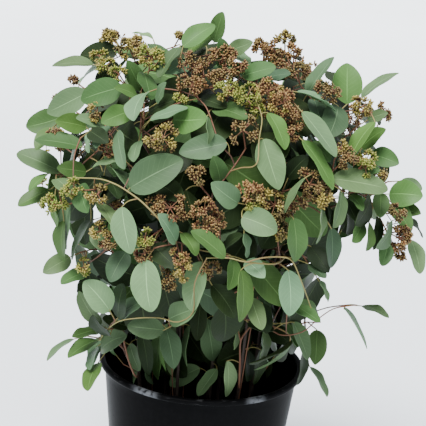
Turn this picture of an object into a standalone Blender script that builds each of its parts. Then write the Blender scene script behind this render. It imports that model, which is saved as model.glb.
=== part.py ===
# A bucket of cut eucalyptus gum nut sprigs: a black tapered bucket, the water in it, and eighteen cut
# stems that branch into leaves and heads of gum nuts. Metres, +Z up, +Y away from the viewer.
# The origin is the centre of the bucket's flat base.
import math
import random
from collections import namedtuple

import bmesh
import bpy
import numpy as np
from mathutils import Matrix, Vector
from mathutils.bvhtree import BVHTree

# Driving dimensions of the bucket
BUCKET_HEIGHT = 0.303
LIP_RADIUS = 0.1515
LIP_DEPTH = 0.008
MOUTH_RADIUS = 0.1420
WALL_TOP_RADIUS = 0.1435
BASE_RADIUS = 0.112
WALL = 0.002
FLOOR_THICKNESS = 0.003
LATHE_STEPS = 40
WATER_STEPS = 24
WATER_TOP = 0.090
CLEARANCE = 0.0005
SHORTEST_EDGE = 0.0001

# Driving dimensions of the foliage: the dome that its outermost leaves lie on, and the stems
DOME_CENTRE = Vector((0.0, 0.0, 0.56))
DOME_REACH = Vector((0.285, 0.260, 0.250))
STEMS = 18
FOOT_SPREAD = 0.080
MOUTH_SPREAD = 0.112
STEM_REACH = 0.70
WIDEST_LEAN = math.radians(112)
FOOT_RADIUS = 0.0031
STEM_TIP_RADIUS = 0.0015
TWIG_RADIUS = 0.0011
PETIOLE_RADIUS = 0.0008
MIDRIB_THICKNESS = 0.0012
ROOM = 0.0006
GOLDEN_TURN = math.pi * (3 - math.sqrt(5))
SEED = 11

# Where the front is looked at from: the eye's place, how far it looks down, how far the view is
# rolled, and the view's focal length and middle in the units of the front places below
EYE = Vector((0.0, -1.657, 1.003))
LOOK_DOWN = math.radians(16)
VIEW_ROLL = math.radians(4.5)
VIEW_FOCAL = 1200.0
VIEW_MIDDLE = 213.0
MOUTH_FRONT = -0.105

FrontLeaf = namedtuple("FrontLeaf", "base tip wide behind mouth", defaults=(0, False))
FrontNuts = namedtuple("FrontNuts", "middle reach behind", defaults=(4,))
FrontTwig = namedtuple("FrontTwig", "points thick behind mouth", defaults=(1.0, -2, False))

# The leaves that show at the front: where the blade's base and tip lie and how wide it looks, in
# view units, how far behind the dome it lies in millimetres, and whether it hangs in the bucket's
# mouth instead
FRONT_LEAVES = [
    # upper left
    FrontLeaf((93, 65), (52, 66), 10, 4),
    FrontLeaf((118, 50), (80, 56), 22, 14),
    FrontLeaf((122, 87), (81, 100), 27, -2),
    FrontLeaf((88, 92), (47, 113), 26, 12),
    FrontLeaf((62, 117), (26, 127), 25, 20),
    FrontLeaf((86, 127), (55, 121), 20, 28),
    FrontLeaf((82, 147), (35, 140), 16, 6),
    FrontLeaf((130, 111), (101, 123), 21, 2),
    FrontLeaf((104, 125), (76, 118), 12, 14),
    FrontLeaf((146, 93), (134, 121), 16, -4),
    FrontLeaf((137, 97), (114, 88), 11, 12),
    FrontLeaf((118, 131), (125, 169), 13, 4),
    FrontLeaf((139, 141), (134, 162), 12, 14),
    FrontLeaf((91, 129), (89, 153), 6, 14),
    # top
    FrontLeaf((214, 42), (223, 12), 16, 6),
    FrontLeaf((183, 47), (215, 25), 19, -34),
    FrontLeaf((228, 50), (253, 42), 16, 10),
    FrontLeaf((223, 72), (220, 38), 16, 20),
    FrontLeaf((228, 52), (249, 67), 10, 14),
    FrontLeaf((180, 47), (159, 78), 12, 0),
    FrontLeaf((189, 65), (165, 74), 16, 10),
    FrontLeaf((144, 73), (151, 100), 17, 14),
    FrontLeaf((141, 90), (127, 60), 18, 22),
    FrontLeaf((157, 103), (166, 82), 8, 8),
    FrontLeaf((150, 120), (188, 108), 9, 0),
    FrontLeaf((173, 120), (207, 119), 28, 4),
    FrontLeaf((213, 109), (247, 119), 16, 12),
    FrontLeaf((207, 116), (208, 144), 6, -4),
    FrontLeaf((148, 113), (178, 100), 14, 18),
    FrontLeaf((243, 76), (276, 67), 17, 2),
    FrontLeaf((266, 78), (291, 74), 11, 12),
    FrontLeaf((268, 113), (285, 150), 15, -2),
    FrontLeaf((227, 143), (179, 153), 25, 16),
    FrontLeaf((200, 99), (226, 108), 15, 30),
    FrontLeaf((153, 39), (132, 33), 3, 4),
    # upper right
    FrontLeaf((308, 93), (334, 57), 12, 0),
    FrontLeaf((347, 104), (347, 63), 30, 0),
    FrontLeaf((362, 98), (399, 73), 9, 4),
    FrontLeaf((338, 106), (328, 138), 27, 14),
    FrontLeaf((302, 112), (336, 157), 16, -4),
    FrontLeaf((375, 122), (351, 158), 14, 0),
    FrontLeaf((362, 148), (386, 129), 15, 12),
    FrontLeaf((368, 120), (388, 113), 12, 20),
    FrontLeaf((371, 154), (399, 164), 20, 10),
    FrontLeaf((302, 140), (333, 190), 13, 0),
    FrontLeaf((312, 142), (330, 162), 16, 16),
    FrontLeaf((332, 179), (388, 189), 23, -4),
    FrontLeaf((297, 92), (336, 112), 3, 4),
    # right
    FrontLeaf((341, 191), (333, 228), 12, 2),
    FrontLeaf((350, 195), (363, 211), 10, 10),
    FrontLeaf((370, 197), (355, 225), 14, 14),
    FrontLeaf((345, 198), (357, 222), 14, 28),
    FrontLeaf((363, 221), (352, 242), 13, 20),
    FrontLeaf((381, 193), (380, 218), 17, 12),
    FrontLeaf((389, 194), (423, 196), 27, 4),
    FrontLeaf((391, 205), (421, 214), 16, 14),
    FrontLeaf((401, 181), (422, 190), 13, 24),
    FrontLeaf((369, 222), (366, 251), 8, 6),
    FrontLeaf((378, 217), (373, 250), 10, 16),
    FrontLeaf((392, 222), (376, 248), 10, 8),
    FrontLeaf((388, 243), (382, 266), 15, 10),
    FrontLeaf((400, 223), (406, 246), 7, 16),
    FrontLeaf((411, 240), (420, 274), 15, 6),
    FrontLeaf((407, 217), (423, 238), 4, 14),
    # middle right
    FrontLeaf((293, 218), (295, 262), 20, 0),
    FrontLeaf((321, 207), (316, 244), 5, 2),
    FrontLeaf((331, 228), (331, 268), 15, 14),
    FrontLeaf((310, 246), (329, 273), 20, 18),
    FrontLeaf((309, 264), (326, 278), 11, 24),
    FrontLeaf((319, 281), (328, 302), 5, 10),
    FrontLeaf((305, 178), (285, 213), 6, -4),
    FrontLeaf((288, 178), (308, 156), 18, 22),
    # centre
    FrontLeaf((130, 188), (183, 160), 35, 6),
    FrontLeaf((263, 139), (279, 190), 28, 4),
    FrontLeaf((238, 203), (211, 183), 24, 2),
    FrontLeaf((220, 181), (213, 156), 18, 14),
    FrontLeaf((242, 217), (277, 232), 28, 0),
    FrontLeaf((176, 242), (158, 214), 16, 0),
    FrontLeaf((182, 233), (196, 256), 13, 14),
    FrontLeaf((225, 258), (191, 231), 17, 2),
    FrontLeaf((223, 252), (243, 235), 9, 12),
    FrontLeaf((244, 233), (247, 258), 7, 4),
    FrontLeaf((246, 261), (265, 278), 18, 2),
    FrontLeaf((264, 245), (280, 290), 36, 16),
    FrontLeaf((233, 258), (228, 290), 15, 10),
    FrontLeaf((241, 270), (240, 322), 16, -2),
    FrontLeaf((203, 262), (191, 312), 23, -2),
    FrontLeaf((146, 260), (151, 312), 30, -2),
    FrontLeaf((169, 319), (197, 308), 24, 6),
    FrontLeaf((153, 245), (178, 268), 22, 20),
    FrontLeaf((186, 190), (193, 228), 14, 24),
    FrontLeaf((158, 185), (183, 201), 22, 30),
    FrontLeaf((212, 285), (235, 318), 22, 16),
    FrontLeaf((252, 262), (288, 305), 30, 26),
    FrontLeaf((288, 270), (290, 316), 25, -2),
    FrontLeaf((251, 298), (262, 330), 18, 6),
    # left
    FrontLeaf((60, 172), (17, 153), 21, 0),
    FrontLeaf((47, 174), (29, 192), 8, 14),
    FrontLeaf((49, 190), (18, 206), 15, 10),
    FrontLeaf((86, 172), (57, 168), 18, 16),
    FrontLeaf((125, 161), (92, 168), 7, -2),
    FrontLeaf((112, 168), (131, 192), 11, 10),
    FrontLeaf((56, 179), (75, 198), 16, 24),
    FrontLeaf((80, 185), (88, 213), 20, 12),
    FrontLeaf((71, 197), (72, 256), 14, 0),
    FrontLeaf((64, 221), (65, 262), 12, 12),
    FrontLeaf((70, 257), (43, 273), 19, 4),
    FrontLeaf((91, 220), (72, 260), 7, 10),
    FrontLeaf((97, 221), (101, 250), 17, 20),
    FrontLeaf((98, 203), (113, 227), 14, 12),
    FrontLeaf((122, 207), (131, 254), 25, -2),
    FrontLeaf((126, 252), (110, 282), 22, 12),
    FrontLeaf((55, 195), (57, 227), 6, 14),
    FrontLeaf((104, 176), (118, 199), 14, 26),
    # lower left
    FrontLeaf((110, 311), (84, 281), 27, 0),
    FrontLeaf((89, 272), (61, 284), 13, 10),
    FrontLeaf((100, 325), (79, 291), 15, 14),
    FrontLeaf((118, 318), (124, 284), 17, 18),
    FrontLeaf((118, 318), (146, 300), 15, 10),
    FrontLeaf((100, 329), (72, 337), 11, 6),
    FrontLeaf((74, 339), (47, 361), 6, 8),
    FrontLeaf((97, 340), (68, 358), 13, 2),
    FrontLeaf((101, 350), (127, 336), 19, 14),
    FrontLeaf((96, 348), (90, 370), 9, 8),
    FrontLeaf((98, 363), (88, 391), 15, 0),
    FrontLeaf((164, 330), (127, 326), 22, 12),
    # the bucket's mouth
    FrontLeaf((130, 344), (140, 371), 13, 14, True),
    FrontLeaf((145, 351), (133, 386), 6, 4, True),
    FrontLeaf((168, 324), (166, 371), 6, -4, True),
    FrontLeaf((175, 326), (172, 376), 14, 20, True),
    FrontLeaf((161, 334), (158, 380), 12, 30, True),
    FrontLeaf((190, 326), (187, 366), 5, 4, True),
    FrontLeaf((200, 368), (169, 386), 19, 0, True),
    FrontLeaf((217, 369), (198, 396), 13, 6, True),
    FrontLeaf((227, 361), (226, 397), 12, -2, True),
    FrontLeaf((248, 350), (247, 382), 11, 26, True),
    FrontLeaf((264, 329), (260, 362), 8, 6, True),
    FrontLeaf((268, 330), (291, 344), 19, 14, True),
    FrontLeaf((290, 344), (254, 370), 3, 0, True),
    FrontLeaf((233, 320), (234, 350), 6, 2, True),
    FrontLeaf((209, 300), (224, 340), 3, -4, True),
    # lower right
    FrontLeaf((293, 322), (308, 360), 14, 0),
    FrontLeaf((317, 330), (315, 365), 20, 6),
    FrontLeaf((303, 350), (297, 385), 8, 2),
    FrontLeaf((310, 367), (327, 397), 7, 4),
    FrontLeaf((362, 306), (389, 318), 8, 4),
    FrontLeaf((344, 308), (367, 349), 3, 4),
    FrontLeaf((319, 319), (296, 304), 13, 16),
]

# The heads of gum nuts that show at the front: the middle and how far the head reaches from it, in
# view units, and how far behind the dome it lies in millimetres
FRONT_NUTS = [
    FrontNuts((114, 37), 9),
    FrontNuts((129, 47), 12),
    FrontNuts((150, 57), 13),
    FrontNuts((180, 36), 5),
    FrontNuts((193, 63), 11),
    FrontNuts((191, 86), 11),
    FrontNuts((213, 60), 10, 8),
    FrontNuts((235, 68), 10),
    FrontNuts((228, 92), 11, 2),
    FrontNuts((246, 98), 13),
    FrontNuts((268, 91), 13, 0),
    FrontNuts((283, 103), 13, 0),
    FrontNuts((285, 38), 9),
    FrontNuts((275, 52), 8),
    FrontNuts((294, 52), 8),
    FrontNuts((298, 71), 9),
    FrontNuts((328, 92), 11),
    FrontNuts((361, 107), 11),
    FrontNuts((290, 131), 10, 10),
    FrontNuts((163, 138), 15, 0),
    FrontNuts((243, 130), 14),
    FrontNuts((347, 158), 10),
    FrontNuts((367, 160), 8),
    FrontNuts((380, 175), 6, 10),
    FrontNuts((98, 194), 9),
    FrontNuts((112, 210), 8, 20),
    FrontNuts((170, 208), 13, 12),
    FrontNuts((204, 210), 11, 16),
    FrontNuts((207, 227), 10, 14),
    FrontNuts((250, 191), 10, 12),
    FrontNuts((251, 204), 9, 10),
    FrontNuts((275, 205), 12, 14),
    FrontNuts((280, 230), 8, 20),
    FrontNuts((310, 184), 12, 4),
    FrontNuts((322, 197), 9, 4),
    FrontNuts((296, 205), 9, 12),
    FrontNuts((100, 231), 8, 8),
    FrontNuts((109, 242), 8, 12),
    FrontNuts((73, 189), 9, 2),
    FrontNuts((55, 205), 10, 4),
    FrontNuts((183, 270), 9, 10),
    FrontNuts((145, 240), 8, 14),
    FrontNuts((143, 254), 7, 16),
    FrontNuts((397, 222), 9, 0),
    FrontNuts((400, 238), 10, 0),
    FrontNuts((398, 253), 8, 2),
    FrontNuts((73, 80), 5),
    FrontNuts((106, 66), 7),
    FrontNuts((119, 74), 7, 6),
    FrontNuts((84, 267), 6, 8),
    FrontNuts((97, 112), 7, 10),
    FrontNuts((104, 157), 7, 12),
    FrontNuts((181, 100), 5, 10),
    FrontNuts((55, 135), 6, 16),
]

# The bare twigs that show at the front, from the root outwards, in view units; how thick they are
# as a share of a twig, and how far behind the dome they run in millimetres
FRONT_TWIGS = [
    FrontTwig(((156, 216), (142, 202), (127, 191), (115, 184), (100, 179), (82, 178), (68, 178))),
    FrontTwig(((246, 262), (228, 258), (206, 258))),
    FrontTwig(((246, 262), (262, 258), (280, 257), (292, 261), (300, 278), (306, 294), (311, 308))),
    FrontTwig(((178, 322), (160, 318), (140, 318), (120, 321), (108, 329), (100, 340))),
    FrontTwig(((302, 332), (318, 319), (333, 309), (348, 306), (357, 305)), 0.8),
    FrontTwig(((220, 240), (219, 215), (211, 199), (200, 185), (190, 170)), 1.5, 40),
    FrontTwig(((222, 182), (235, 165), (246, 148)), 1.2, 26),
    FrontTwig(((218, 140), (213, 125), (206, 107), (195, 96)), 1.1, 16),
    FrontTwig(((258, 160), (259, 140), (262, 119), (257, 103), (250, 92)), 0.9, -4),
    FrontTwig(((239, 385), (240, 362), (241, 340), (251, 326)), 1.4, 0, True),
    FrontTwig(((241, 340), (236, 322)), 1.0, 0, True),
    FrontTwig(((134, 374), (129, 362), (125, 346), (121, 328)), 1.2, -6, True),
]

draw = random.Random(SEED)
view_forward = Vector((0.0, math.cos(LOOK_DOWN), -math.sin(LOOK_DOWN)))
view_up = Vector((0.0, math.sin(LOOK_DOWN), math.cos(LOOK_DOWN)))
view_right = Vector((1.0, 0.0, 0.0))


# Places seen at the front, put back into space
def sight(place):
    """The direction from the eye through a place in the view."""
    across = place[0] - VIEW_MIDDLE
    down = place[1] - VIEW_MIDDLE
    turned_across = across * math.cos(VIEW_ROLL) + down * math.sin(VIEW_ROLL)
    turned_down = down * math.cos(VIEW_ROLL) - across * math.sin(VIEW_ROLL)
    way = view_forward + view_right * turned_across / VIEW_FOCAL - view_up * turned_down / VIEW_FOCAL
    return way.normalized()


def dome_distance(way):
    """How far along a sight line the dome begins, or comes closest."""
    start = Vector([(EYE[k] - DOME_CENTRE[k]) / DOME_REACH[k] for k in range(3)])
    run = Vector([way[k] / DOME_REACH[k] for k in range(3)])
    square = run.dot(run)
    half = start.dot(run)
    inside = half * half - square * (start.dot(start) - 1)
    return (-half - math.sqrt(max(inside, 0))) / square


def view_distance(place, mouth):
    """How far from the eye the foliage's front lies at a place in the view."""
    way = sight(place)
    if mouth:
        return (MOUTH_FRONT - EYE.y) / way.y
    return dome_distance(way)


def from_view(place, behind, mouth):
    return EYE + sight(place) * (view_distance(place, mouth) + behind)


def outwards(point):
    """The direction in which the dome's surface faces at a point."""
    away = Vector([(point[k] - DOME_CENTRE[k]) / DOME_REACH[k] ** 2 for k in range(3)])
    return away.normalized()


def sideways(way):
    """Two directions square to a way and to each other."""
    helper = Vector((0, 0, 1)) if abs(way.z) < 0.9 else Vector((1, 0, 0))
    first = way.cross(helper).normalized()
    return first, way.cross(first).normalized()


# Plain bodies, each as a list of corners and a list of faces
def tube(points, radii, sides, first_side=None):
    """A closed tube with flat sides; its rings are turned along the path without twist."""
    corners = []
    faces = []
    side = first_side
    for ring, point in enumerate(points):
        before = points[max(ring - 1, 0)]
        after = points[min(ring + 1, len(points) - 1)]
        way = (after - before).normalized()
        if side is None:
            side = sideways(way)[0]
        side = (side - way * side.dot(way)).normalized()
        other = way.cross(side)
        for step in range(sides):
            turn = 2 * math.pi * step / sides
            corners.append(point + (side * math.cos(turn) + other * math.sin(turn)) * radii[ring])
    for ring in range(len(points) - 1):
        low = ring * sides
        for step in range(sides):
            following = (step + 1) % sides
            faces.append((low + step, low + following, low + sides + following))
            faces.append((low + step, low + sides + following, low + sides + step))
    top = (len(points) - 1) * sides
    for step in range(1, sides - 1):
        faces.append((0, step + 1, step))
        faces.append((top, top + step, top + step + 1))
    return corners, faces


def blade_half_width(along):
    """A eucalyptus blade's half width along its length, as a share of its widest half width."""
    if along < 0.42:
        return max(0, 1 - ((0.42 - along) / 0.42) ** 2) ** 0.55
    return max(0, 1 - ((along - 0.42) / 0.58) ** 2) ** 0.55


def blade_point(leaf, along, across):
    """A point of the blade's middle surface: camber along it, and both halves folded upwards."""
    half = leaf.width / 2 * blade_half_width(along)
    lift = leaf.camber * 4 * along * (1 - along) * leaf.length + leaf.fold * abs(across) * half
    return leaf.base + leaf.axis * along * leaf.length + leaf.side * across * half + leaf.face * lift


RIM_PLACES = (0.12, 0.38, 0.68, 0.91)
PLAIN_RIM_PLACES = (0.15, 0.46, 0.84)
HUB_RADIUS = 0.0012
STALK_RADIUS = 0.0009
ROOT_RADIUS = 0.0003
NUT_RADIUS = 0.0019


class Leaf:
    """A leaf's place: its blade's base, tip, width and the way its upper face looks."""

    def __init__(self, base, tip, width, face, rim):
        self.base = base
        self.rim = rim
        self.tip = tip
        self.width = width
        self.length = (tip - base).length
        self.axis = (tip - base).normalized()
        self.face = (face - self.axis * face.dot(self.axis)).normalized()
        self.side = self.face.cross(self.axis)
        self.camber = draw.uniform(0.03, 0.08)
        self.fold = draw.uniform(0.10, 0.28)
        self.path = []

    def moved(self, shift):
        self.base = self.base + shift
        self.tip = self.tip + shift

    def anchor(self):
        return self.base

    def back(self):
        return -self.axis




def blade_body(leaf, path, extra):
    """The blade and its stalk as one body: the stalk's last ring is the root of the blade."""
    stalk = path or [leaf.base - leaf.axis * 0.004, leaf.base]
    sides = (-leaf.side * 0.87 + leaf.face * 0.5, leaf.side * 0.87 + leaf.face * 0.5, -leaf.face)
    corners = []
    faces = []
    turned = [side.copy() for side in sides]
    rings = []
    for index in range(len(stalk) - 1, -1, -1):
        before = stalk[max(index - 1, 0)]
        after = stalk[min(index + 1, len(stalk) - 1)]
        way = (after - before).normalized()
        first = (turned[0] - way * turned[0].dot(way)).normalized()
        turned = [Matrix.Rotation(turn, 3, way) @ first for turn in (0, -2.0944, 2.0944)]
        radius = PETIOLE_RADIUS if index else ROOT_RADIUS
        rings.insert(0, [stalk[index] + side * (radius + extra) for side in turned])
    for ring in rings:
        corners.extend(ring)
    for ring in range(len(rings) - 1):
        low = ring * 3
        for step in range(3):
            following = (step + 1) % 3
            faces.append((low + step, low + 3 + following, low + following))
            faces.append((low + step, low + 3 + step, low + 3 + following))
    faces.append((0, 1, 2))
    root = (len(rings) - 1) * 3
    left, right, under = root, root + 1, root + 2
    start = len(corners)
    wide = 1 + extra * 60
    corners.extend(blade_point(leaf, along, -wide) for along in leaf.rim)
    corners.append(blade_point(leaf, 1.0, 0))
    corners.extend(blade_point(leaf, along, wide) for along in reversed(leaf.rim))
    centre = blade_point(leaf, 0.45, 0)
    corners.append(centre + leaf.face * (MIDRIB_THICKNESS / 2 + extra))
    corners.append(centre - leaf.face * (MIDRIB_THICKNESS / 2 + extra))
    upper, lower = len(corners) - 2, len(corners) - 1
    rim = [left] + list(range(start, start + 2 * len(leaf.rim) + 1)) + [right]
    for first, second in zip(rim[:-1], rim[1:]):
        faces.append((first, upper, second))
        faces.append((second, lower, first))
    faces.append((right, upper, left))
    faces.append((under, lower, right))
    faces.append((left, lower, under))
    return corners, faces


class Head:
    """A head of gum nuts: seven stalked nuts round one point, which its own stalk reaches."""

    def __init__(self, middle, reach, way):
        self.middle = middle
        self.way = way
        self.reach = reach
        self.turn = draw.uniform(0, 2.09)
        nuts = 7 if reach > 0.0135 else 5
        self.lengths = [reach * draw.uniform(0.82, 1.08) for _ in range(nuts)]
        self.path = []

    def moved(self, shift):
        self.middle = self.middle + shift

    def anchor(self):
        return self.middle - self.way * HUB_RADIUS * 0.45

    def back(self):
        return -self.way


def head_body(head, path, extra):
    """The stalk, and seven nuts that grow out of the faces of a small three-sided hub."""
    first, second = sideways(head.way)
    arms = []
    for step in range(6):
        turn = head.turn + math.pi * step / 3
        arms.append(first * math.cos(turn) + second * math.sin(turn))
    radius = HUB_RADIUS + extra
    depth = head.way * radius * 0.45
    near = [head.middle - depth + arms[step] * radius for step in (0, 2, 4)]
    far = [head.middle + depth + arms[step] * radius for step in (1, 3, 5)]
    corners = near + far
    faces = []
    hub = [(3, 4, 5)]
    for step in range(3):
        hub.append((3 + step, (step + 1) % 3, 3 + (step + 1) % 3))
    for step in range(3):
        hub.append((step, (step + 1) % 3, 3 + step))
    faces.extend(hub[len(head.lengths):])
    for face, length in zip(hub, head.lengths):
        middle = (corners[face[0]] + corners[face[1]] + corners[face[2]]) / 3
        way = (middle - head.middle).normalized()
        ring = len(corners)
        for index in face:
            arm = corners[index] - head.middle
            arm = (arm - way * arm.dot(way)).normalized()
            corners.append(head.middle + way * length * 0.72 + arm * (NUT_RADIUS + extra))
        corners.append(head.middle + way * (length + extra))
        for step in range(3):
            following = (step + 1) % 3
            faces.append((face[step], face[following], ring + following))
            faces.append((face[step], ring + following, ring + step))
            faces.append((ring + step, ring + following, ring + 3))
    stalk = path or [head.anchor() - head.way * 0.002, head.anchor()]
    last = [0, 1, 2]
    sides = [arms[step] for step in (0, 2, 4)]
    for index in range(len(stalk) - 2, -1, -1):
        way = (stalk[index + 1] - stalk[max(index - 1, 0)]).normalized()
        side = (sides[0] - way * sides[0].dot(way)).normalized()
        sides = [Matrix.Rotation(turn, 3, way) @ side for turn in (0, 2.0944, 4.1888)]
        ring = len(corners)
        radius = STALK_RADIUS if index else ROOT_RADIUS
        corners.extend(stalk[index] + side * (radius + extra) for side in sides)
        for step in range(3):
            following = (step + 1) % 3
            faces.append((ring + step, ring + following, last[following]))
            faces.append((ring + step, last[following], last[step]))
        last = [ring, ring + 1, ring + 2]
    faces.append((last[0], last[2], last[1]))
    return corners, faces


def item_body(item, path, extra):
    if isinstance(item, Leaf):
        return blade_body(item, path, extra)
    return head_body(item, path, extra)


# What is already placed, so that nothing new crosses it
class Room:
    def __init__(self):
        self.lows = np.zeros((0, 3))
        self.highs = np.zeros((0, 3))
        self.trees = []
        self.owners = []

    def add(self, corners, faces, owner):
        spots = np.array(corners)
        self.lows = np.vstack([self.lows, spots.min(axis=0)])
        self.highs = np.vstack([self.highs, spots.max(axis=0)])
        self.trees.append(BVHTree.FromPolygons(corners, faces))
        self.owners.append(owner)

    def crossed(self, corners, faces, passed):
        """Whether a body crosses a placed one, apart from those whose owner is passed over."""
        spots = np.array(corners)
        near = np.all(self.lows <= spots.max(axis=0), axis=1)
        near &= np.all(self.highs >= spots.min(axis=0), axis=1)
        tree = None
        for index in np.nonzero(near)[0]:
            if self.owners[index] in passed:
                continue
            if tree is None:
                tree = BVHTree.FromPolygons(corners, faces)
            if tree.overlap(self.trees[index]):
                return True
        return False


# The wood: every point from which a further stalk can grow
class Wood:
    def __init__(self):
        self.points = []
        self.ways = []
        self.runs = []
        self.stems = []
        self.radii = []
        self.used = []

    def add(self, points, radii, stem, run, skipped):
        """Adds a branch's points, three to a straight piece, but not the first ones."""
        for index in range(len(points) - 1):
            way = (points[index + 1] - points[index]).normalized()
            for share in (0.0, 0.34, 0.67, 1.0 if index == len(points) - 2 else None):
                if share is None:
                    continue
                point = points[index].lerp(points[index + 1], share)
                if (point - points[0]).length < skipped:
                    continue
                self.points.append(point)
                self.ways.append(way)
                self.runs.append(run + (point - points[0]).length)
                self.stems.append(stem)
                self.radii.append(radii[index] + (radii[index + 1] - radii[index]) * share)
                self.used.append(0)


def bent(start, start_way, end, end_way, count):
    """Points of a curve that leaves one way and arrives another."""
    reach = (end - start).length
    first = start + start_way * reach * 0.36
    second = end - end_way * reach * 0.36
    points = []
    for index in range(count):
        t = index / (count - 1)
        s = 1 - t
        points.append(start * s ** 3 + first * 3 * s * s * t + second * 3 * s * t * t + end * t ** 3)
    return points


room = Room()
wood = Wood()
branches = [[] for _ in range(STEMS)]
carried = [[] for _ in range(STEMS)]


# The bucket: one profile turned about the upright axis, with a rolled lip and a shallow foot
def wall_radius(height):
    return BASE_RADIUS + (WALL_TOP_RADIUS - BASE_RADIUS) * height / (BUCKET_HEIGHT - LIP_DEPTH)


def bucket_profile():
    lip_bottom = BUCKET_HEIGHT - LIP_DEPTH
    lip_round = 0.0025
    return [
        (0.0, 0.0),
        (BASE_RADIUS - 0.002, 0.0),
        (BASE_RADIUS, 0.002),
        (wall_radius(lip_bottom), lip_bottom),
        (LIP_RADIUS - 0.001, lip_bottom),
        (LIP_RADIUS, lip_bottom + 0.0012),
        (LIP_RADIUS, BUCKET_HEIGHT - lip_round),
        (LIP_RADIUS - 0.0012, BUCKET_HEIGHT - 0.0006),
        (LIP_RADIUS - lip_round - 0.001, BUCKET_HEIGHT),
        (MOUTH_RADIUS + 0.002, BUCKET_HEIGHT),
        (MOUTH_RADIUS, BUCKET_HEIGHT - 0.0018),
        (wall_radius(FLOOR_THICKNESS) - WALL, FLOOR_THICKNESS),
        (0.0, FLOOR_THICKNESS),
    ]


def turned_body(profile, steps):
    """A closed body made by turning a profile about the upright axis; its ends lie on the axis."""
    corners = [Vector((0, 0, profile[0][1]))]
    faces = []
    rings = profile[1:-1]
    for radius, height in rings:
        for step in range(steps):
            turn = 2 * math.pi * step / steps
            corners.append(Vector((radius * math.cos(turn), radius * math.sin(turn), height)))
    corners.append(Vector((0, 0, profile[-1][1])))
    last = len(corners) - 1
    for step in range(steps):
        following = (step + 1) % steps
        faces.append((0, 1 + following, 1 + step))
        top = 1 + (len(rings) - 1) * steps
        faces.append((last, top + step, top + following))
        for ring in range(len(rings) - 1):
            low = 1 + ring * steps
            faces.append((low + step, low + following, low + steps + following, low + steps + step))
    return corners, faces


bucket_corners, bucket_faces = turned_body(bucket_profile(), LATHE_STEPS)
room.add(bucket_corners, bucket_faces, "bucket")


# The main stems: feet spread over the bucket's floor, straight to the mouth, then arching outwards
def stem_points(number):
    share = math.sqrt((number + 0.5) / STEMS)
    turn = number * GOLDEN_TURN + 0.7
    across = Vector((math.cos(turn), math.sin(turn), 0))
    foot = across * share * FOOT_SPREAD + Vector((0, 0, FLOOR_THICKNESS + CLEARANCE))
    mouth = across * share * MOUTH_SPREAD + Vector((0, 0, BUCKET_HEIGHT))
    lean = share * WIDEST_LEAN
    aim = across * math.sin(lean) + Vector((0, 0, math.cos(lean)))
    reach = STEM_REACH * draw.uniform(0.92, 1.06)
    end = DOME_CENTRE + Vector([aim[k] * DOME_REACH[k] * reach for k in range(3)])
    rising = (mouth - foot).normalized()
    leaving = (aim + Vector((0, 0, 0.45 - share * 0.5))).normalized()
    low = [foot, foot.lerp(mouth, 0.36), foot.lerp(mouth, 0.74)]
    return low + bent(mouth, rising, end, leaving, 6)


for number in range(STEMS):
    points = stem_points(number)
    count = len(points)
    radii = [FOOT_RADIUS + (STEM_TIP_RADIUS - FOOT_RADIUS) * k / (count - 1) for k in range(count)]
    turn = number * GOLDEN_TURN + 0.7
    side = Vector((math.cos(turn), math.sin(turn), 0))
    corners, faces = tube(points, radii, 4, side)
    room.add(corners, faces, ("wood", number))
    branches[number].append((points, radii, 4, side))
    wood.add(points[2:], radii[2:], number, 0.3, 0.03)


# The bare twigs of the front, each grown from the point of the wood that reaches it best
LONGEST_STALK = 0.042
RUN_COST = 0.22
USED_COST = 0.012
LOAD_COST = 0.0012
TRIES = 26


def cost(anchor, back, points, ways, runs):
    """How dear it is to reach an anchor from each point of the wood."""
    gap = np.array(anchor) - points
    far = np.linalg.norm(gap, axis=1)
    unit = gap / np.maximum(far, 1e-6)[:, None]
    along = (unit * ways).sum(axis=1)
    arriving = unit @ -np.array(back)
    price = far * (1 + 0.9 * np.clip(0.25 - along, 0, 2) + 0.7 * np.clip(0.2 - arriving, 0, 2))
    price += RUN_COST * runs + 0.4 * np.clip(0.012 - far, 0, 1)
    return price + 0.12 * np.clip(-0.15 - arriving, 0, 1)


for reading in FRONT_TWIGS:
    points = [from_view(place, reading.behind / 1000, reading.mouth) for place in reading.points]
    thick = TWIG_RADIUS * reading.thick
    spots = np.array([list(point) for point in wood.points])
    ways = np.array([list(way) for way in wood.ways])
    back = (points[0] - points[1]).normalized()
    price = cost(points[0], back, spots, ways, np.array(wood.runs))
    for host in np.argsort(price, kind="stable")[:160:3]:
        host = int(host)
        stem = wood.stems[host]
        gap = (points[0] - wood.points[host]).normalized()
        start = wood.points[host] - wood.ways[host] * 0.0012
        lead = [start]
        if (points[0] - start).length > 0.006:
            lead = bent(start, (gap + wood.ways[host]).normalized(), points[0], -back, 4)[:-1] + points[:1]
        path = lead + points[1:]
        root = min(thick * 1.2, wood.radii[host] * 0.95)
        radii = [root + (thick * 0.75 - root) * k / (len(path) - 1) for k in range(len(path))]
        corners, faces = tube(path, [radius + ROOM for radius in radii], 3)
        if room.crossed(corners, faces, (("wood", stem),)):
            continue
        room.add(*tube(path, radii, 3), ("wood", stem))
        branches[stem].append((path, radii, 3, None))
        wood.add(path, radii, stem, wood.runs[host], 0.010)
        break


# The front leaves and heads, each moved along its sight line to the first free depth
DEPTHS = (0, 5, -4, 10, 15, -8, 20, 25, 30, 36, 42, -12, 50, -17, 60, -24, 75)
SHORTEST_BLADE = 0.050
STEEPEST = 0.3


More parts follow.
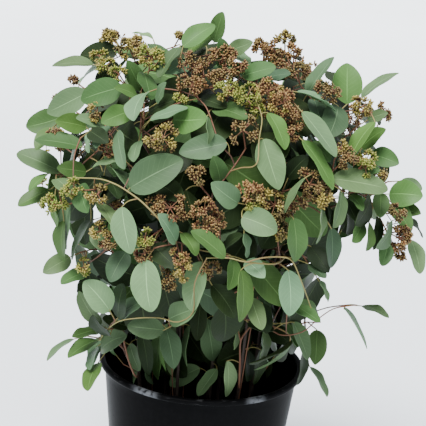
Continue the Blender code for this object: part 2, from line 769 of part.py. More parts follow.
def front_leaf(reading):
    behind = reading.behind / 1000
    near = view_distance(reading.base, reading.mouth)
    far = view_distance(reading.tip, reading.mouth)
    gap = math.dist(reading.base, reading.tip) * near / VIEW_FOCAL
    slope = max(-STEEPEST * gap, min(STEEPEST * gap, far - near)) / 2
    if gap < SHORTEST_BLADE and reading.wide > 7:
        slope -= min(math.sqrt(SHORTEST_BLADE ** 2 - gap ** 2), 0.8 * gap) / 2
    middle = (near + far) / 2 + behind
    base = EYE + sight(reading.base) * (middle - slope)
    tip = EYE + sight(reading.tip) * (middle + slope)
    to_eye = (EYE - (base + tip) / 2).normalized()
    seen_width = reading.wide * middle / VIEW_FOCAL
    length = (tip - base).length
    width = max(seen_width * 1.03, length * 0.56)
    axis = (tip - base).normalized()
    face = (to_eye - axis * to_eye.dot(axis)).normalized()
    roll = math.acos(min(1, seen_width / width))
    up = outwards((base + tip) / 2) * 0.6 + Vector((0, 0, 0.8))
    choices = [Matrix.Rotation(turn, 3, axis) @ face for turn in (roll, -roll)]
    face = max(choices, key=lambda way: way.dot(up))
    rim = RIM_PLACES if length > 0.055 and reading.wide > 12 else PLAIN_RIM_PLACES
    return Leaf(base, tip, width, face, rim)


def placed(item, way, depths):
    """Moves an item along a way until it crosses nothing; says whether it could."""
    moved = 0
    for depth in depths:
        item.moved(way * (depth / 1000 - moved))
        moved = depth / 1000
        corners, faces = item_body(item, None, ROOM)
        if not room.crossed(corners, faces, ()):
            room.add(corners, faces, item)
            return True
    return False


items = []
for reading in FRONT_LEAVES:
    leaf = front_leaf(reading)
    if placed(leaf, sight(reading.base), DEPTHS):
        items.append(leaf)

for reading in FRONT_NUTS:
    middle = from_view(reading.middle, reading.behind / 1000, False)
    reach = min(0.015, reading.reach * (EYE - middle).length / VIEW_FOCAL)
    way = (outwards(middle) + Vector((0, 0, 0.35))).normalized()
    head = Head(middle, reach, way)
    if placed(head, sight(reading.middle), DEPTHS):
        items.append(head)


# The leaves and heads of the sides, back and inside, spread evenly over the dome in three layers,
# all within the outline that the foliage shows at the front
VIEW_OUTLINE = (
    (111, 32), (150, 46), (185, 38), (215, 26), (223, 14), (227, 40), (256, 42), (284, 32),
    (300, 38), (303, 62), (332, 58), (336, 74), (348, 64), (362, 76), (376, 86), (396, 76),
    (386, 100), (388, 128), (380, 150), (398, 162), (396, 180), (422, 190), (422, 214),
    (410, 225), (420, 250), (420, 272), (400, 260), (384, 264), (376, 246), (354, 248),
    (340, 244), (332, 270), (326, 300), (306, 320), (306, 352), (292, 366), (252, 394),
    (150, 388), (106, 362), (92, 372), (72, 354), (76, 338), (84, 318), (74, 286), (46, 274),
    (62, 260), (66, 226), (46, 214), (20, 204), (32, 180), (19, 154), (52, 164), (38, 140),
    (58, 134), (28, 126), (48, 112), (54, 90), (74, 80), (54, 66), (78, 58), (92, 48),
)
FILL_LAYERS = ((96, 1.0), (72, 0.76), (44, 0.5))
LOW_LEAVES = 34
FILL_HEADS = 22


def seen_at(point):
    """Where a point shows in the view."""
    gap = point - EYE
    depth = gap.dot(view_forward)
    across = gap.dot(view_right) / depth * VIEW_FOCAL
    down = -gap.dot(view_up) / depth * VIEW_FOCAL
    unrolled_across = across * math.cos(VIEW_ROLL) - down * math.sin(VIEW_ROLL)
    unrolled_down = across * math.sin(VIEW_ROLL) + down * math.cos(VIEW_ROLL)
    return unrolled_across + VIEW_MIDDLE, unrolled_down + VIEW_MIDDLE


def within_outline(point):
    across, down = seen_at(point)
    inside = False
    for (x0, y0), (x1, y1) in zip(VIEW_OUTLINE, VIEW_OUTLINE[1:] + VIEW_OUTLINE[:1]):
        if (y0 > down) != (y1 > down) and across < x0 + (down - y0) / (y1 - y0) * (x1 - x0):
            inside = not inside
    return inside


def spread_way(index, count):
    height = 1 - 2 * (index + 0.5) / count
    turn = index * GOLDEN_TURN
    flat = math.sqrt(1 - height * height)
    return Vector((flat * math.cos(turn), flat * math.sin(turn), height))


def dome_point(way, layer):
    return DOME_CENTRE + Vector([way[k] * DOME_REACH[k] * layer for k in range(3)])


def fill_leaf(middle, way, lengths):
    length = draw.uniform(*lengths)
    hang = Vector((draw.uniform(-1, 1), draw.uniform(-1, 1), draw.uniform(-1.2, 0.4)))
    turned = Vector((draw.uniform(-0.6, 0.6), draw.uniform(-0.6, 0.6), draw.uniform(-0.2, 0.8)))
    axis = ((hang - way * hang.dot(way)).normalized() + way * 0.3).normalized()
    base = middle - axis * length * 0.5
    width = length * draw.uniform(0.60, 0.76)
    return Leaf(base, base + axis * length, width, way + turned, PLAIN_RIM_PLACES)


def fills(leaf):
    spots = [blade_point(leaf, along, across) for along in (0.4, 0.8) for across in (-1, 1)]
    return all(within_outline(spot) for spot in spots + [leaf.base, leaf.tip])


for count, layer in FILL_LAYERS:
    for index in range(count):
        way = spread_way(index, count)
        if way.z < -0.8 or (layer > 0.9 and way.y < -0.12):
            continue
        lengths = (0.060, 0.082) if layer > 0.9 else (0.070, 0.088)
        middle = dome_point(way, layer * draw.uniform(0.94, 1.02))
        leaf = fill_leaf(middle, way, lengths)
        if fills(leaf) and placed(leaf, way, (0, -6, 6, -12, 12, -20, -30)):
            items.append(leaf)

for index in range(LOW_LEAVES):
    turn = index * GOLDEN_TURN
    way = Vector((math.cos(turn), math.sin(turn), 0))
    if way.y < -0.15:
        continue
    middle = way * draw.uniform(0.075, 0.125) + Vector((0, 0, draw.uniform(0.33, 0.42)))
    leaf = fill_leaf(middle, way, (0.060, 0.080))
    if fills(leaf) and placed(leaf, way, (0, -8, 8, -16, -24, 16)):
        items.append(leaf)

for index in range(FILL_HEADS):
    way = spread_way(index + 0.37, FILL_HEADS)
    middle = dome_point(way, draw.uniform(0.9, 1.02))
    reach = draw.uniform(0.011, 0.014)
    if way.z < -0.7 or way.y < -0.12 or not within_outline(middle):
        continue
    head = Head(middle, reach, (way + Vector((0, 0, 0.4))).normalized())
    if placed(head, way, (0, -6, 6, -12, 12, -20)):
        items.append(head)


# The stalks: always the cheapest one next, so that leaves close to each other share a twig
def stalk_paths(item, host):
    """Ways to reach an item from a point of the wood: a twig, which may be none, and a stalk."""
    start = wood.points[host] - wood.ways[host] * 0.0012
    anchor = item.anchor()
    gap = anchor - start
    ahead = (gap.normalized() * 0.9 + wood.ways[host] * 0.25).normalized()
    arrive = (gap.normalized() * 0.6 - item.back() * 0.8).normalized()
    if gap.length < LONGEST_STALK:
        straight = gap.length < 0.022 and gap.dot(item.back()) < -0.5 * gap.length
        return [], bent(start, ahead, anchor, arrive, 2 if straight else 3)
    node = anchor - arrive * 0.014 - gap.normalized() * 0.004
    steps = 3 if gap.length < 0.08 else 4
    twig = bent(start, ahead, node, (arrive + gap.normalized()).normalized(), steps)
    return twig, [twig[-1] - (twig[-1] - twig[-2]).normalized() * 0.0012, anchor]


def try_host(item, host):
    stem = wood.stems[host]
    twig, stalk = stalk_paths(item, host)
    passed = (("wood", stem), item)
    parts = []
    if twig:
        thick = min(TWIG_RADIUS, wood.radii[host] * 0.92)
        radii = [thick + (0.001 - thick) * k / (len(twig) - 1) for k in range(len(twig))]
        radii[0] = wood.radii[host] * 0.4
        parts.append((twig, radii))
    parts.append((stalk, [STALK_RADIUS] * len(stalk)))
    for points, radii in parts:
        corners, faces = tube(points, [radius + ROOM for radius in radii], 3)
        if room.crossed(corners, faces, passed):
            return False
    run = wood.runs[host]
    for points, radii in parts:
        room.add(*tube(points, radii, 3), ("wood", stem))
    if twig:
        branches[stem].append((twig, parts[0][1], 3, None))
        wood.add(twig, parts[0][1], stem, run, 0.010)
    item.path = stalk
    wood.used[host] += 1
    carried[stem].append(item)
    return True


def connect(pending):
    """Joins each item to the wood, cheapest first; one that nothing can reach is left out."""
    known = 0
    points = np.zeros((0, 3))
    prices = [np.zeros(0) for _ in pending]
    pending = list(pending)
    while pending:
        fresh = np.array([list(point) for point in wood.points[known:]])
        if len(fresh):
            ways = np.array([list(way) for way in wood.ways[known:]])
            runs = np.array(wood.runs[known:])
            for index, item in enumerate(pending):
                price = cost(item.anchor(), item.back(), fresh, ways, runs)
                prices[index] = np.concatenate([prices[index], price])
            known = len(wood.points)
        best = min(range(len(pending)), key=lambda index: prices[index].min())
        item = pending.pop(best)
        price = prices.pop(best)
        load = np.array([len(carried[stem]) for stem in wood.stems])
        price = price + USED_COST * np.array(wood.used) + LOAD_COST * load
        order = np.argsort(price, kind="stable")
        chosen = list(order[:8]) + list(order[8:8 + TRIES * 5:5])
        any(try_host(item, int(host)) for host in chosen)


connect(items)


# The scene's objects, each with a material of its own
def material(name, colour, roughness):
    made = bpy.data.materials.new(name)
    made.use_nodes = True
    shader = made.node_tree.nodes["Principled BSDF"]
    shader.inputs["Base Color"].default_value = (*colour, 1)
    shader.inputs["Roughness"].default_value = roughness
    return made


def mesh_object(name, corners, faces, home):
    mesh = bpy.data.meshes.new(name)
    mesh.from_pydata([tuple(corner) for corner in corners], [], faces)
    mesh.validate()
    shape = bmesh.new()
    shape.from_mesh(mesh)
    bmesh.ops.recalc_face_normals(shape, faces=shape.faces)
    shape.to_mesh(mesh)
    shape.free()
    made = bpy.data.objects.new(name, mesh)
    home.objects.link(made)
    return made


def apply_boolean(body, modifier):
    """Applies a Boolean modifier by taking its evaluated mesh."""
    bpy.context.view_layer.update()
    shaped = body.evaluated_get(bpy.context.evaluated_depsgraph_get())
    mesh = bpy.data.meshes.new_from_object(shaped)
    body.modifiers.remove(modifier)
    body.data = mesh


def collapse_short_edges(body):
    """Draws together the edges under a tenth of a millimetre that crossing bodies leave."""
    shape = bmesh.new()
    shape.from_mesh(body.data)
    bmesh.ops.triangulate(shape, faces=shape.faces)
    short = sorted((edge for edge in shape.edges if edge.calc_length() < SHORTEST_EDGE),
                   key=lambda edge: edge.calc_length())
    for edge in short:
        if not edge.is_valid or edge.calc_length() >= SHORTEST_EDGE:
            continue
        first, second = edge.verts
        around = [{other.other_vert(corner) for other in corner.link_edges} for corner in edge.verts]
        if len(around[0] & around[1]) == 2 and min(len(near) for near in around) > 3:
            bmesh.ops.pointmerge(shape, verts=[first, second], merge_co=first.co.copy())
    if all(edge.is_manifold for edge in shape.edges):
        shape.to_mesh(body.data)
    shape.free()


def drop_crumbs(body):
    """Keeps the largest joined piece: crossing edges leave crumbs a few hundredths of a mm wide."""
    shape = bmesh.new()
    shape.from_mesh(body.data)
    left = set(shape.verts)
    pieces = []
    while left:
        start = left.pop()
        piece = [start]
        waiting = [start]
        while waiting:
            for edge in waiting.pop().link_edges:
                for corner in edge.verts:
                    if corner in left:
                        left.discard(corner)
                        piece.append(corner)
                        waiting.append(corner)
        pieces.append(piece)
    pieces.sort(key=len)
    for piece in pieces[:-1]:
        bmesh.ops.delete(shape, geom=piece, context="VERTS")
    shape.to_mesh(body.data)
    shape.free()


def united(name, bodies, home):
    """One body out of many that run into each other."""
    body = mesh_object(name, *bodies[0], home)
    pieces = bpy.data.collections.new(name + "_pieces")
    bpy.context.scene.collection.children.link(pieces)
    for index, (corners, faces) in enumerate(bodies[1:]):
        mesh_object(name + "_piece_" + str(index), corners, faces, pieces)
    modifier = body.modifiers.new("union", "BOOLEAN")
    modifier.operation = "UNION"
    modifier.operand_type = "COLLECTION"
    modifier.collection = pieces
    modifier.solver = "MANIFOLD"
    apply_boolean(body, modifier)
    for piece in list(pieces.objects):
        bpy.data.objects.remove(piece, do_unlink=True)
    bpy.data.collections.remove(pieces)
    drop_crumbs(body)
    collapse_short_edges(body)
    return body


def stem_bodies(number):
    bodies = []
    for points, radii, sides, side in branches[number]:
        bodies.append(tube(points, radii, sides, side))
    bodies.extend(item_body(item, item.path, 0) for item in carried[number])
    return bodies


for old in list(bpy.data.objects):
    bpy.data.objects.remove(old, do_unlink=True)
home = bpy.data.collections.new("eucalyptus_sprig_bucket")
bpy.context.scene.collection.children.link(home)

bucket = mesh_object("bucket", bucket_corners, bucket_faces, home)
bucket.data.materials.append(material("bucket_black", (0.02, 0.022, 0.025), 0.4))

for number in range(STEMS):
    name = "gum_nut_stem_" + str(number + 1).zfill(2)
    stem = united(name, stem_bodies(number), home)
    green = 0.30 + 0.05 * (number % 4)
    stem.data.materials.clear()
    stem.data.materials.append(material(name + "_green", (0.17, green, 0.17), 0.6))


# The water: a disc that stands clear of the wall, with a plain hole round each stem
def water_profile():
    bottom = FLOOR_THICKNESS + CLEARANCE
    return [
        (0.0, bottom),
        (wall_radius(bottom) - WALL - CLEARANCE - 0.001, bottom),
        (wall_radius(WATER_TOP) - WALL - CLEARANCE - 0.001, WATER_TOP),
        (0.0, WATER_TOP),
    ]


water = mesh_object("water", *turned_body(water_profile(), WATER_STEPS), home)
holes = bpy.data.collections.new("water_holes")
bpy.context.scene.collection.children.link(holes)
for number in range(STEMS):
    points, radii, sides, side = branches[number][0]
    way = (points[1] - points[0]).normalized()
    ends = [points[0] - way * 0.01, points[1] + way * 0.02]
    wide = [FOOT_RADIUS + CLEARANCE * 1.6] * 2
    mesh_object("hole_" + str(number), *tube(ends, wide, sides, side), holes)
modifier = water.modifiers.new("holes", "BOOLEAN")
modifier.operation = "DIFFERENCE"
modifier.operand_type = "COLLECTION"
modifier.collection = holes
modifier.solver = "MANIFOLD"
apply_boolean(water, modifier)
for piece in list(holes.objects):
    bpy.data.objects.remove(piece, do_unlink=True)
bpy.data.collections.remove(holes)
water.data.materials.clear()
water.data.materials.append(material("water_clear", (0.55, 0.68, 0.66), 0.05))
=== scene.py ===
import math
import random
from collections import namedtuple

import bpy
import numpy as np
from mathutils import Matrix, Vector
from mathutils.bvhtree import BVHTree


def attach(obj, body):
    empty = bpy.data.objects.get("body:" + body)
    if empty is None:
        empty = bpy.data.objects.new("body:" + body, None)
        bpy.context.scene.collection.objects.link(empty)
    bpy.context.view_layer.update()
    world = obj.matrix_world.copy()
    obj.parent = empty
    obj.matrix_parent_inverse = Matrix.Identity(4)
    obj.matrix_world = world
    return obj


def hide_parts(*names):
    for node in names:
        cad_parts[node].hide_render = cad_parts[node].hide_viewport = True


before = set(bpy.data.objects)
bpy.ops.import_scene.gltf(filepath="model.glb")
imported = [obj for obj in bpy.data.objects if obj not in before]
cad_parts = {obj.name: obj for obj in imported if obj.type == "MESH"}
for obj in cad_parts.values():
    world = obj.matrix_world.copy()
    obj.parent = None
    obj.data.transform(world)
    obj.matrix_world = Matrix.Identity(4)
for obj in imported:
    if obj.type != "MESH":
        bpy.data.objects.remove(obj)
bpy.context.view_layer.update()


# Bucket: a plain black flower bucket, moulded in one piece from polythene, with a thin rolled lip
# and a shallow foot. Its plastic is half glossy, dusty in streaks, and scuffed where it is held; two
# pale patches on the front of the lip are painted highlights.
BUCKET_HEIGHT = 0.303
LIP_RADIUS = 0.1515
LIP_DEPTH = 0.008
MOUTH_RADIUS = 0.1420
WALL_TOP_RADIUS = 0.1435
BASE_RADIUS = 0.112
WALL = 0.002
FLOOR_THICKNESS = 0.003
FOOT_RECESS = 0.0016
LIP_BOTTOM = BUCKET_HEIGHT - LIP_DEPTH
FINE_STEPS = 128
SHARP_EDGE = math.radians(50)


def wall_radius(height):
    return BASE_RADIUS + (WALL_TOP_RADIUS - BASE_RADIUS) * height / LIP_BOTTOM


def fine_bucket_profile():
    """Radius and height from the middle of the foot, up the wall, over the lip and down inside."""
    outside = [
        (0.0, FOOT_RECESS), (BASE_RADIUS - 0.010, FOOT_RECESS), (BASE_RADIUS - 0.008, 0.0),
        (BASE_RADIUS - 0.0024, 0.0), (BASE_RADIUS - 0.0008, 0.0006), (BASE_RADIUS, 0.0022),
    ]
    for height in [share * LIP_BOTTOM for share in (0.06, 0.2, 0.4, 0.6, 0.8, 0.95)]:
        outside.append((wall_radius(height), height))
    lip = [
        (wall_radius(LIP_BOTTOM - 0.003), LIP_BOTTOM - 0.003),
        (wall_radius(LIP_BOTTOM) + 0.0008, LIP_BOTTOM - 0.0006),
        (LIP_RADIUS - 0.0024, LIP_BOTTOM), (LIP_RADIUS - 0.0008, LIP_BOTTOM + 0.0008),
        (LIP_RADIUS, LIP_BOTTOM + 0.0026), (LIP_RADIUS, BUCKET_HEIGHT - 0.0034),
        (LIP_RADIUS - 0.0006, BUCKET_HEIGHT - 0.0016), (LIP_RADIUS - 0.0020, BUCKET_HEIGHT - 0.0004),
        (LIP_RADIUS - 0.0036, BUCKET_HEIGHT), (MOUTH_RADIUS + 0.0026, BUCKET_HEIGHT - 0.0002),
        (MOUTH_RADIUS + 0.0009, BUCKET_HEIGHT - 0.0012), (MOUTH_RADIUS, BUCKET_HEIGHT - 0.0032),
        (MOUTH_RADIUS - 0.0003, BUCKET_HEIGHT - 0.010),
    ]
    heights = [share * LIP_BOTTOM for share in (0.85, 0.5, 0.1)]
    inside = [(wall_radius(height) - WALL, height) for height in heights]
    floor = wall_radius(FLOOR_THICKNESS) - WALL
    inside.append((floor, FLOOR_THICKNESS + 0.003))
    inside.append((floor - 0.003, FLOOR_THICKNESS))
    inside.append((0.0, FLOOR_THICKNESS))
    return outside + lip + inside


def turned_body(profile, steps):
    """A closed body made by turning a profile about the upright axis; its ends lie on the axis."""
    corners = [Vector((0, 0, profile[0][1]))]
    faces = []
    rings = profile[1:-1]
    for radius, height in rings:
        for step in range(steps):
            turn = 2 * math.pi * step / steps
            corners.append(Vector((radius * math.cos(turn), radius * math.sin(turn), height)))
    corners.append(Vector((0, 0, profile[-1][1])))
    last = len(corners) - 1
    for step in range(steps):
        following = (step + 1) % steps
        faces.append((0, 1 + following, 1 + step))
        top = 1 + (len(rings) - 1) * steps
        faces.append((last, top + step, top + following))
        for ring in range(len(rings) - 1):
            low = 1 + ring * steps
            faces.append((low + step, low + following, low + steps + following, low + steps + step))
    return corners, faces


def mesh_piece(name, corners, faces, material, node):
    """A finished piece: smooth shaded, riding on the one body, standing for its CAD node."""
    mesh = bpy.data.meshes.new(name)
    mesh.from_pydata([tuple(corner) for corner in corners], [], faces)
    mesh.polygons.foreach_set("use_smooth", [True] * len(mesh.polygons))
    mesh.set_sharp_from_angle(angle=SHARP_EDGE)
    mesh.materials.append(material)
    piece = bpy.data.objects.new(name, mesh)
    bpy.context.scene.collection.objects.link(piece)
    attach(piece, "root")
    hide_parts(node)
    return piece


class Shade:
    """A number or colour that varies inside a material; sums with it add the material's nodes."""

    def __init__(self, tree, socket):
        self.tree = tree
        self.socket = socket

    def node(self, kind, settings, inputs, output=0):
        """Adds one node: its settings first, then the values or links of its sockets."""
        made = self.tree.nodes.new(kind)
        for name, value in settings.items():
            setattr(made, name, value)
        for name, value in inputs.items():
            socket = made.inputs[name]
            if isinstance(value, Shade):
                self.tree.links.new(value.socket, socket)
            elif socket.type == "RGBA":
                socket.default_value = (*value, 1.0)
            else:
                socket.default_value = value
        return Shade(self.tree, made.outputs[output])

    def maths(self, operation, first, second=0.0):
        return self.node("ShaderNodeMath", {"operation": operation}, {0: first, 1: second})

    def __add__(self, other):
        return self.maths("ADD", self, other)

    def __radd__(self, other):
        return self.maths("ADD", other, self)

    def __sub__(self, other):
        return self.maths("SUBTRACT", self, other)

    def __rsub__(self, other):
        return self.maths("SUBTRACT", other, self)

    def __mul__(self, other):
        return self.maths("MULTIPLY", self, other)

    def __rmul__(self, other):
        return self.maths("MULTIPLY", other, self)

    def __abs__(self):
        return self.maths("ABSOLUTE", self)

    def wave(self):
        return self.maths("SINE", self)

    def rise(self, low, high):
        """Smoothly from 0 where the value is at the first mark to 1 where it is at the second."""
        marks = {"Value": self, "From Min": low, "From Max": high}
        return self.node("ShaderNodeMapRange", {"interpolation_type": "SMOOTHSTEP"}, marks)

    def mix(self, first, second):
        """The first colour where this value is 0, the second where it is 1."""
        return self.node("ShaderNodeMix", {"data_type": "RGBA"}, {0: self, 6: first, 7: second}, 2)


class Finish(Shade):
    """A material under construction: where its values come from and where they end."""

    def __init__(self, name):
        self.material = bpy.data.materials.new(name)
        self.material.use_nodes = True
        self.tree = self.material.node_tree
        self.surface = self.tree.nodes["Principled BSDF"]
        self.place = self.node("ShaderNodeTexCoord", {}, {}, "Object")

    def attribute(self, name, output="Fac"):
        return self.node("ShaderNodeAttribute", {"attribute_name": name}, {}, output)

    def noise(self, scale, detail=3.0, stretch=(1.0, 1.0, 1.0)):
        place = self.node("ShaderNodeMapping", {}, {"Vector": self.place, "Scale": stretch})
        grains = {"Vector": place, "Scale": scale, "Detail": detail}
        return self.node("ShaderNodeTexNoise", {}, grains)

    def place_along(self, axis):
        """How far along one of the axes, 0 to 2, a point of the surface lies."""
        return self.node("ShaderNodeSeparateXYZ", {}, {0: self.place}, axis)

    def finish(self, varying, constant, bump=None, depth=0.0, strength=1.0):
        """Feeds the surface: what varies by links, what is the same all over on the sockets."""
        for name, value in varying.items():
            self.tree.links.new(value.socket, self.surface.inputs[name])
        for name, value in constant.items():
            self.surface.inputs[name].default_value = value
        if bump is not None:
            sizes = {"Height": bump, "Distance": depth, "Strength": strength}
            normal = self.node("ShaderNodeBump", {}, sizes)
            self.tree.links.new(normal.socket, self.surface.inputs["Normal"])
        return self.material


plastic = Finish("bucket_black")
dust = plastic.noise(6.0, 4.0, (1.0, 1.0, 0.35)).rise(0.42, 0.75)
fine_dust = plastic.noise(140.0, 4.0).rise(0.35, 0.8)
scuffs = plastic.noise(70.0, 5.0, (1.0, 1.0, 9.0)).rise(0.60, 0.72)
lip_band = plastic.place_along(2).rise(0.2935, 0.2965)
across = plastic.place_along(0)
# painted highlights: two pale patches at set places on the front of the lip stand in for reflections
highlight_spots = abs(across + 0.074).rise(0.024, 0.006) + abs(across - 0.080).rise(0.018, 0.004)
front = plastic.place_along(1).rise(-0.02, -0.08)
painted_highlight = highlight_spots * front * lip_band * plastic.noise(120.0, 3.0).rise(0.30, 0.62)
colour = (dust * 0.04 + fine_dust * 0.02).mix((0.0026, 0.0026, 0.0028), (0.050, 0.052, 0.056))
colour = (scuffs * lip_band * 0.30).mix(colour, (0.08, 0.08, 0.085))
# the painted highlights' pale grey
colour = painted_highlight.mix(colour, (0.11, 0.115, 0.125))
roughness = 0.34 + dust * 0.10 + scuffs * 0.12
black_plastic = plastic.finish(
    {"Base Color": colour, "Roughness": roughness},
    {"Specular IOR Level": 0.015},
    scuffs * 0.3 + fine_dust * 0.5, 0.00025, 0.35,
)
corners, faces = turned_body(fine_bucket_profile(), FINE_STEPS)
mesh_piece("bucket_shell", corners, faces, black_plastic, "bucket")


# Water: clean tap water that stands a third of the way up the bucket, round every stem. The CAD's
# disc with its holes stays, and takes a clear, faintly green finish with slow ripples.
clear = Finish("water_clear")
drift = clear.noise(11.0, 3.0)
tinged = drift.mix((0.30, 0.40, 0.36), (0.42, 0.50, 0.44))
clear_water = clear.finish(
    {"Base Color": tinged, "Roughness": 0.03 + drift * 0.05},
    {"Transmission Weight": 0.75, "IOR": 1.333},
    clear.noise(28.0, 2.0), 0.0006, 0.4,
)
water = bpy.data.objects["water"]
water.data.materials.clear()
water.data.materials.append(clear_water)


# Cut stems: eighteen leafy stems of eucalyptus, cut straight and stood in the bucket so that they
# arch out into a dome, with twigs, stalks, leaves and heads of gum nuts that all grow from them. The
# plan below is the CAD's, grown again from the same seed; wood, leaves and nuts are laid over it.
DOME_CENTRE = Vector((0.0, 0.0, 0.56))
DOME_REACH = Vector((0.285, 0.260, 0.250))
STEMS = 18
FIRST_TURN = 0.7
CLEARANCE = 0.0005
FOOT_SPREAD = 0.080
MOUTH_SPREAD = 0.112
STEM_REACH = 0.70
WIDEST_LEAN = math.radians(112)
FOOT_RADIUS = 0.0031
STEM_TIP_RADIUS = 0.0015
TWIG_RADIUS = 0.0011
PETIOLE_RADIUS = 0.0008
MIDRIB_THICKNESS = 0.0012
ROOM = 0.0006
GOLDEN_TURN = math.pi * (3 - math.sqrt(5))
THIRD_TURN = 2.0944
SEED = 11

# Where the front is looked at from: the eye's place, how far it looks down, how far the view is
# rolled, and the view's focal length and middle in the units of the front places below
EYE = Vector((0.0, -1.657, 1.003))
LOOK_DOWN = math.radians(16)
VIEW_ROLL = math.radians(4.5)
VIEW_FOCAL = 1200.0
VIEW_MIDDLE = 213.0
MOUTH_FRONT = -0.105

FrontLeaf = namedtuple("FrontLeaf", "base tip wide tone behind mouth", defaults=(0, False))
FrontNuts = namedtuple("FrontNuts", "middle reach tone behind", defaults=(4,))
FrontTwig = namedtuple("FrontTwig", "points age thick behind mouth", defaults=(1.0, -2, False))
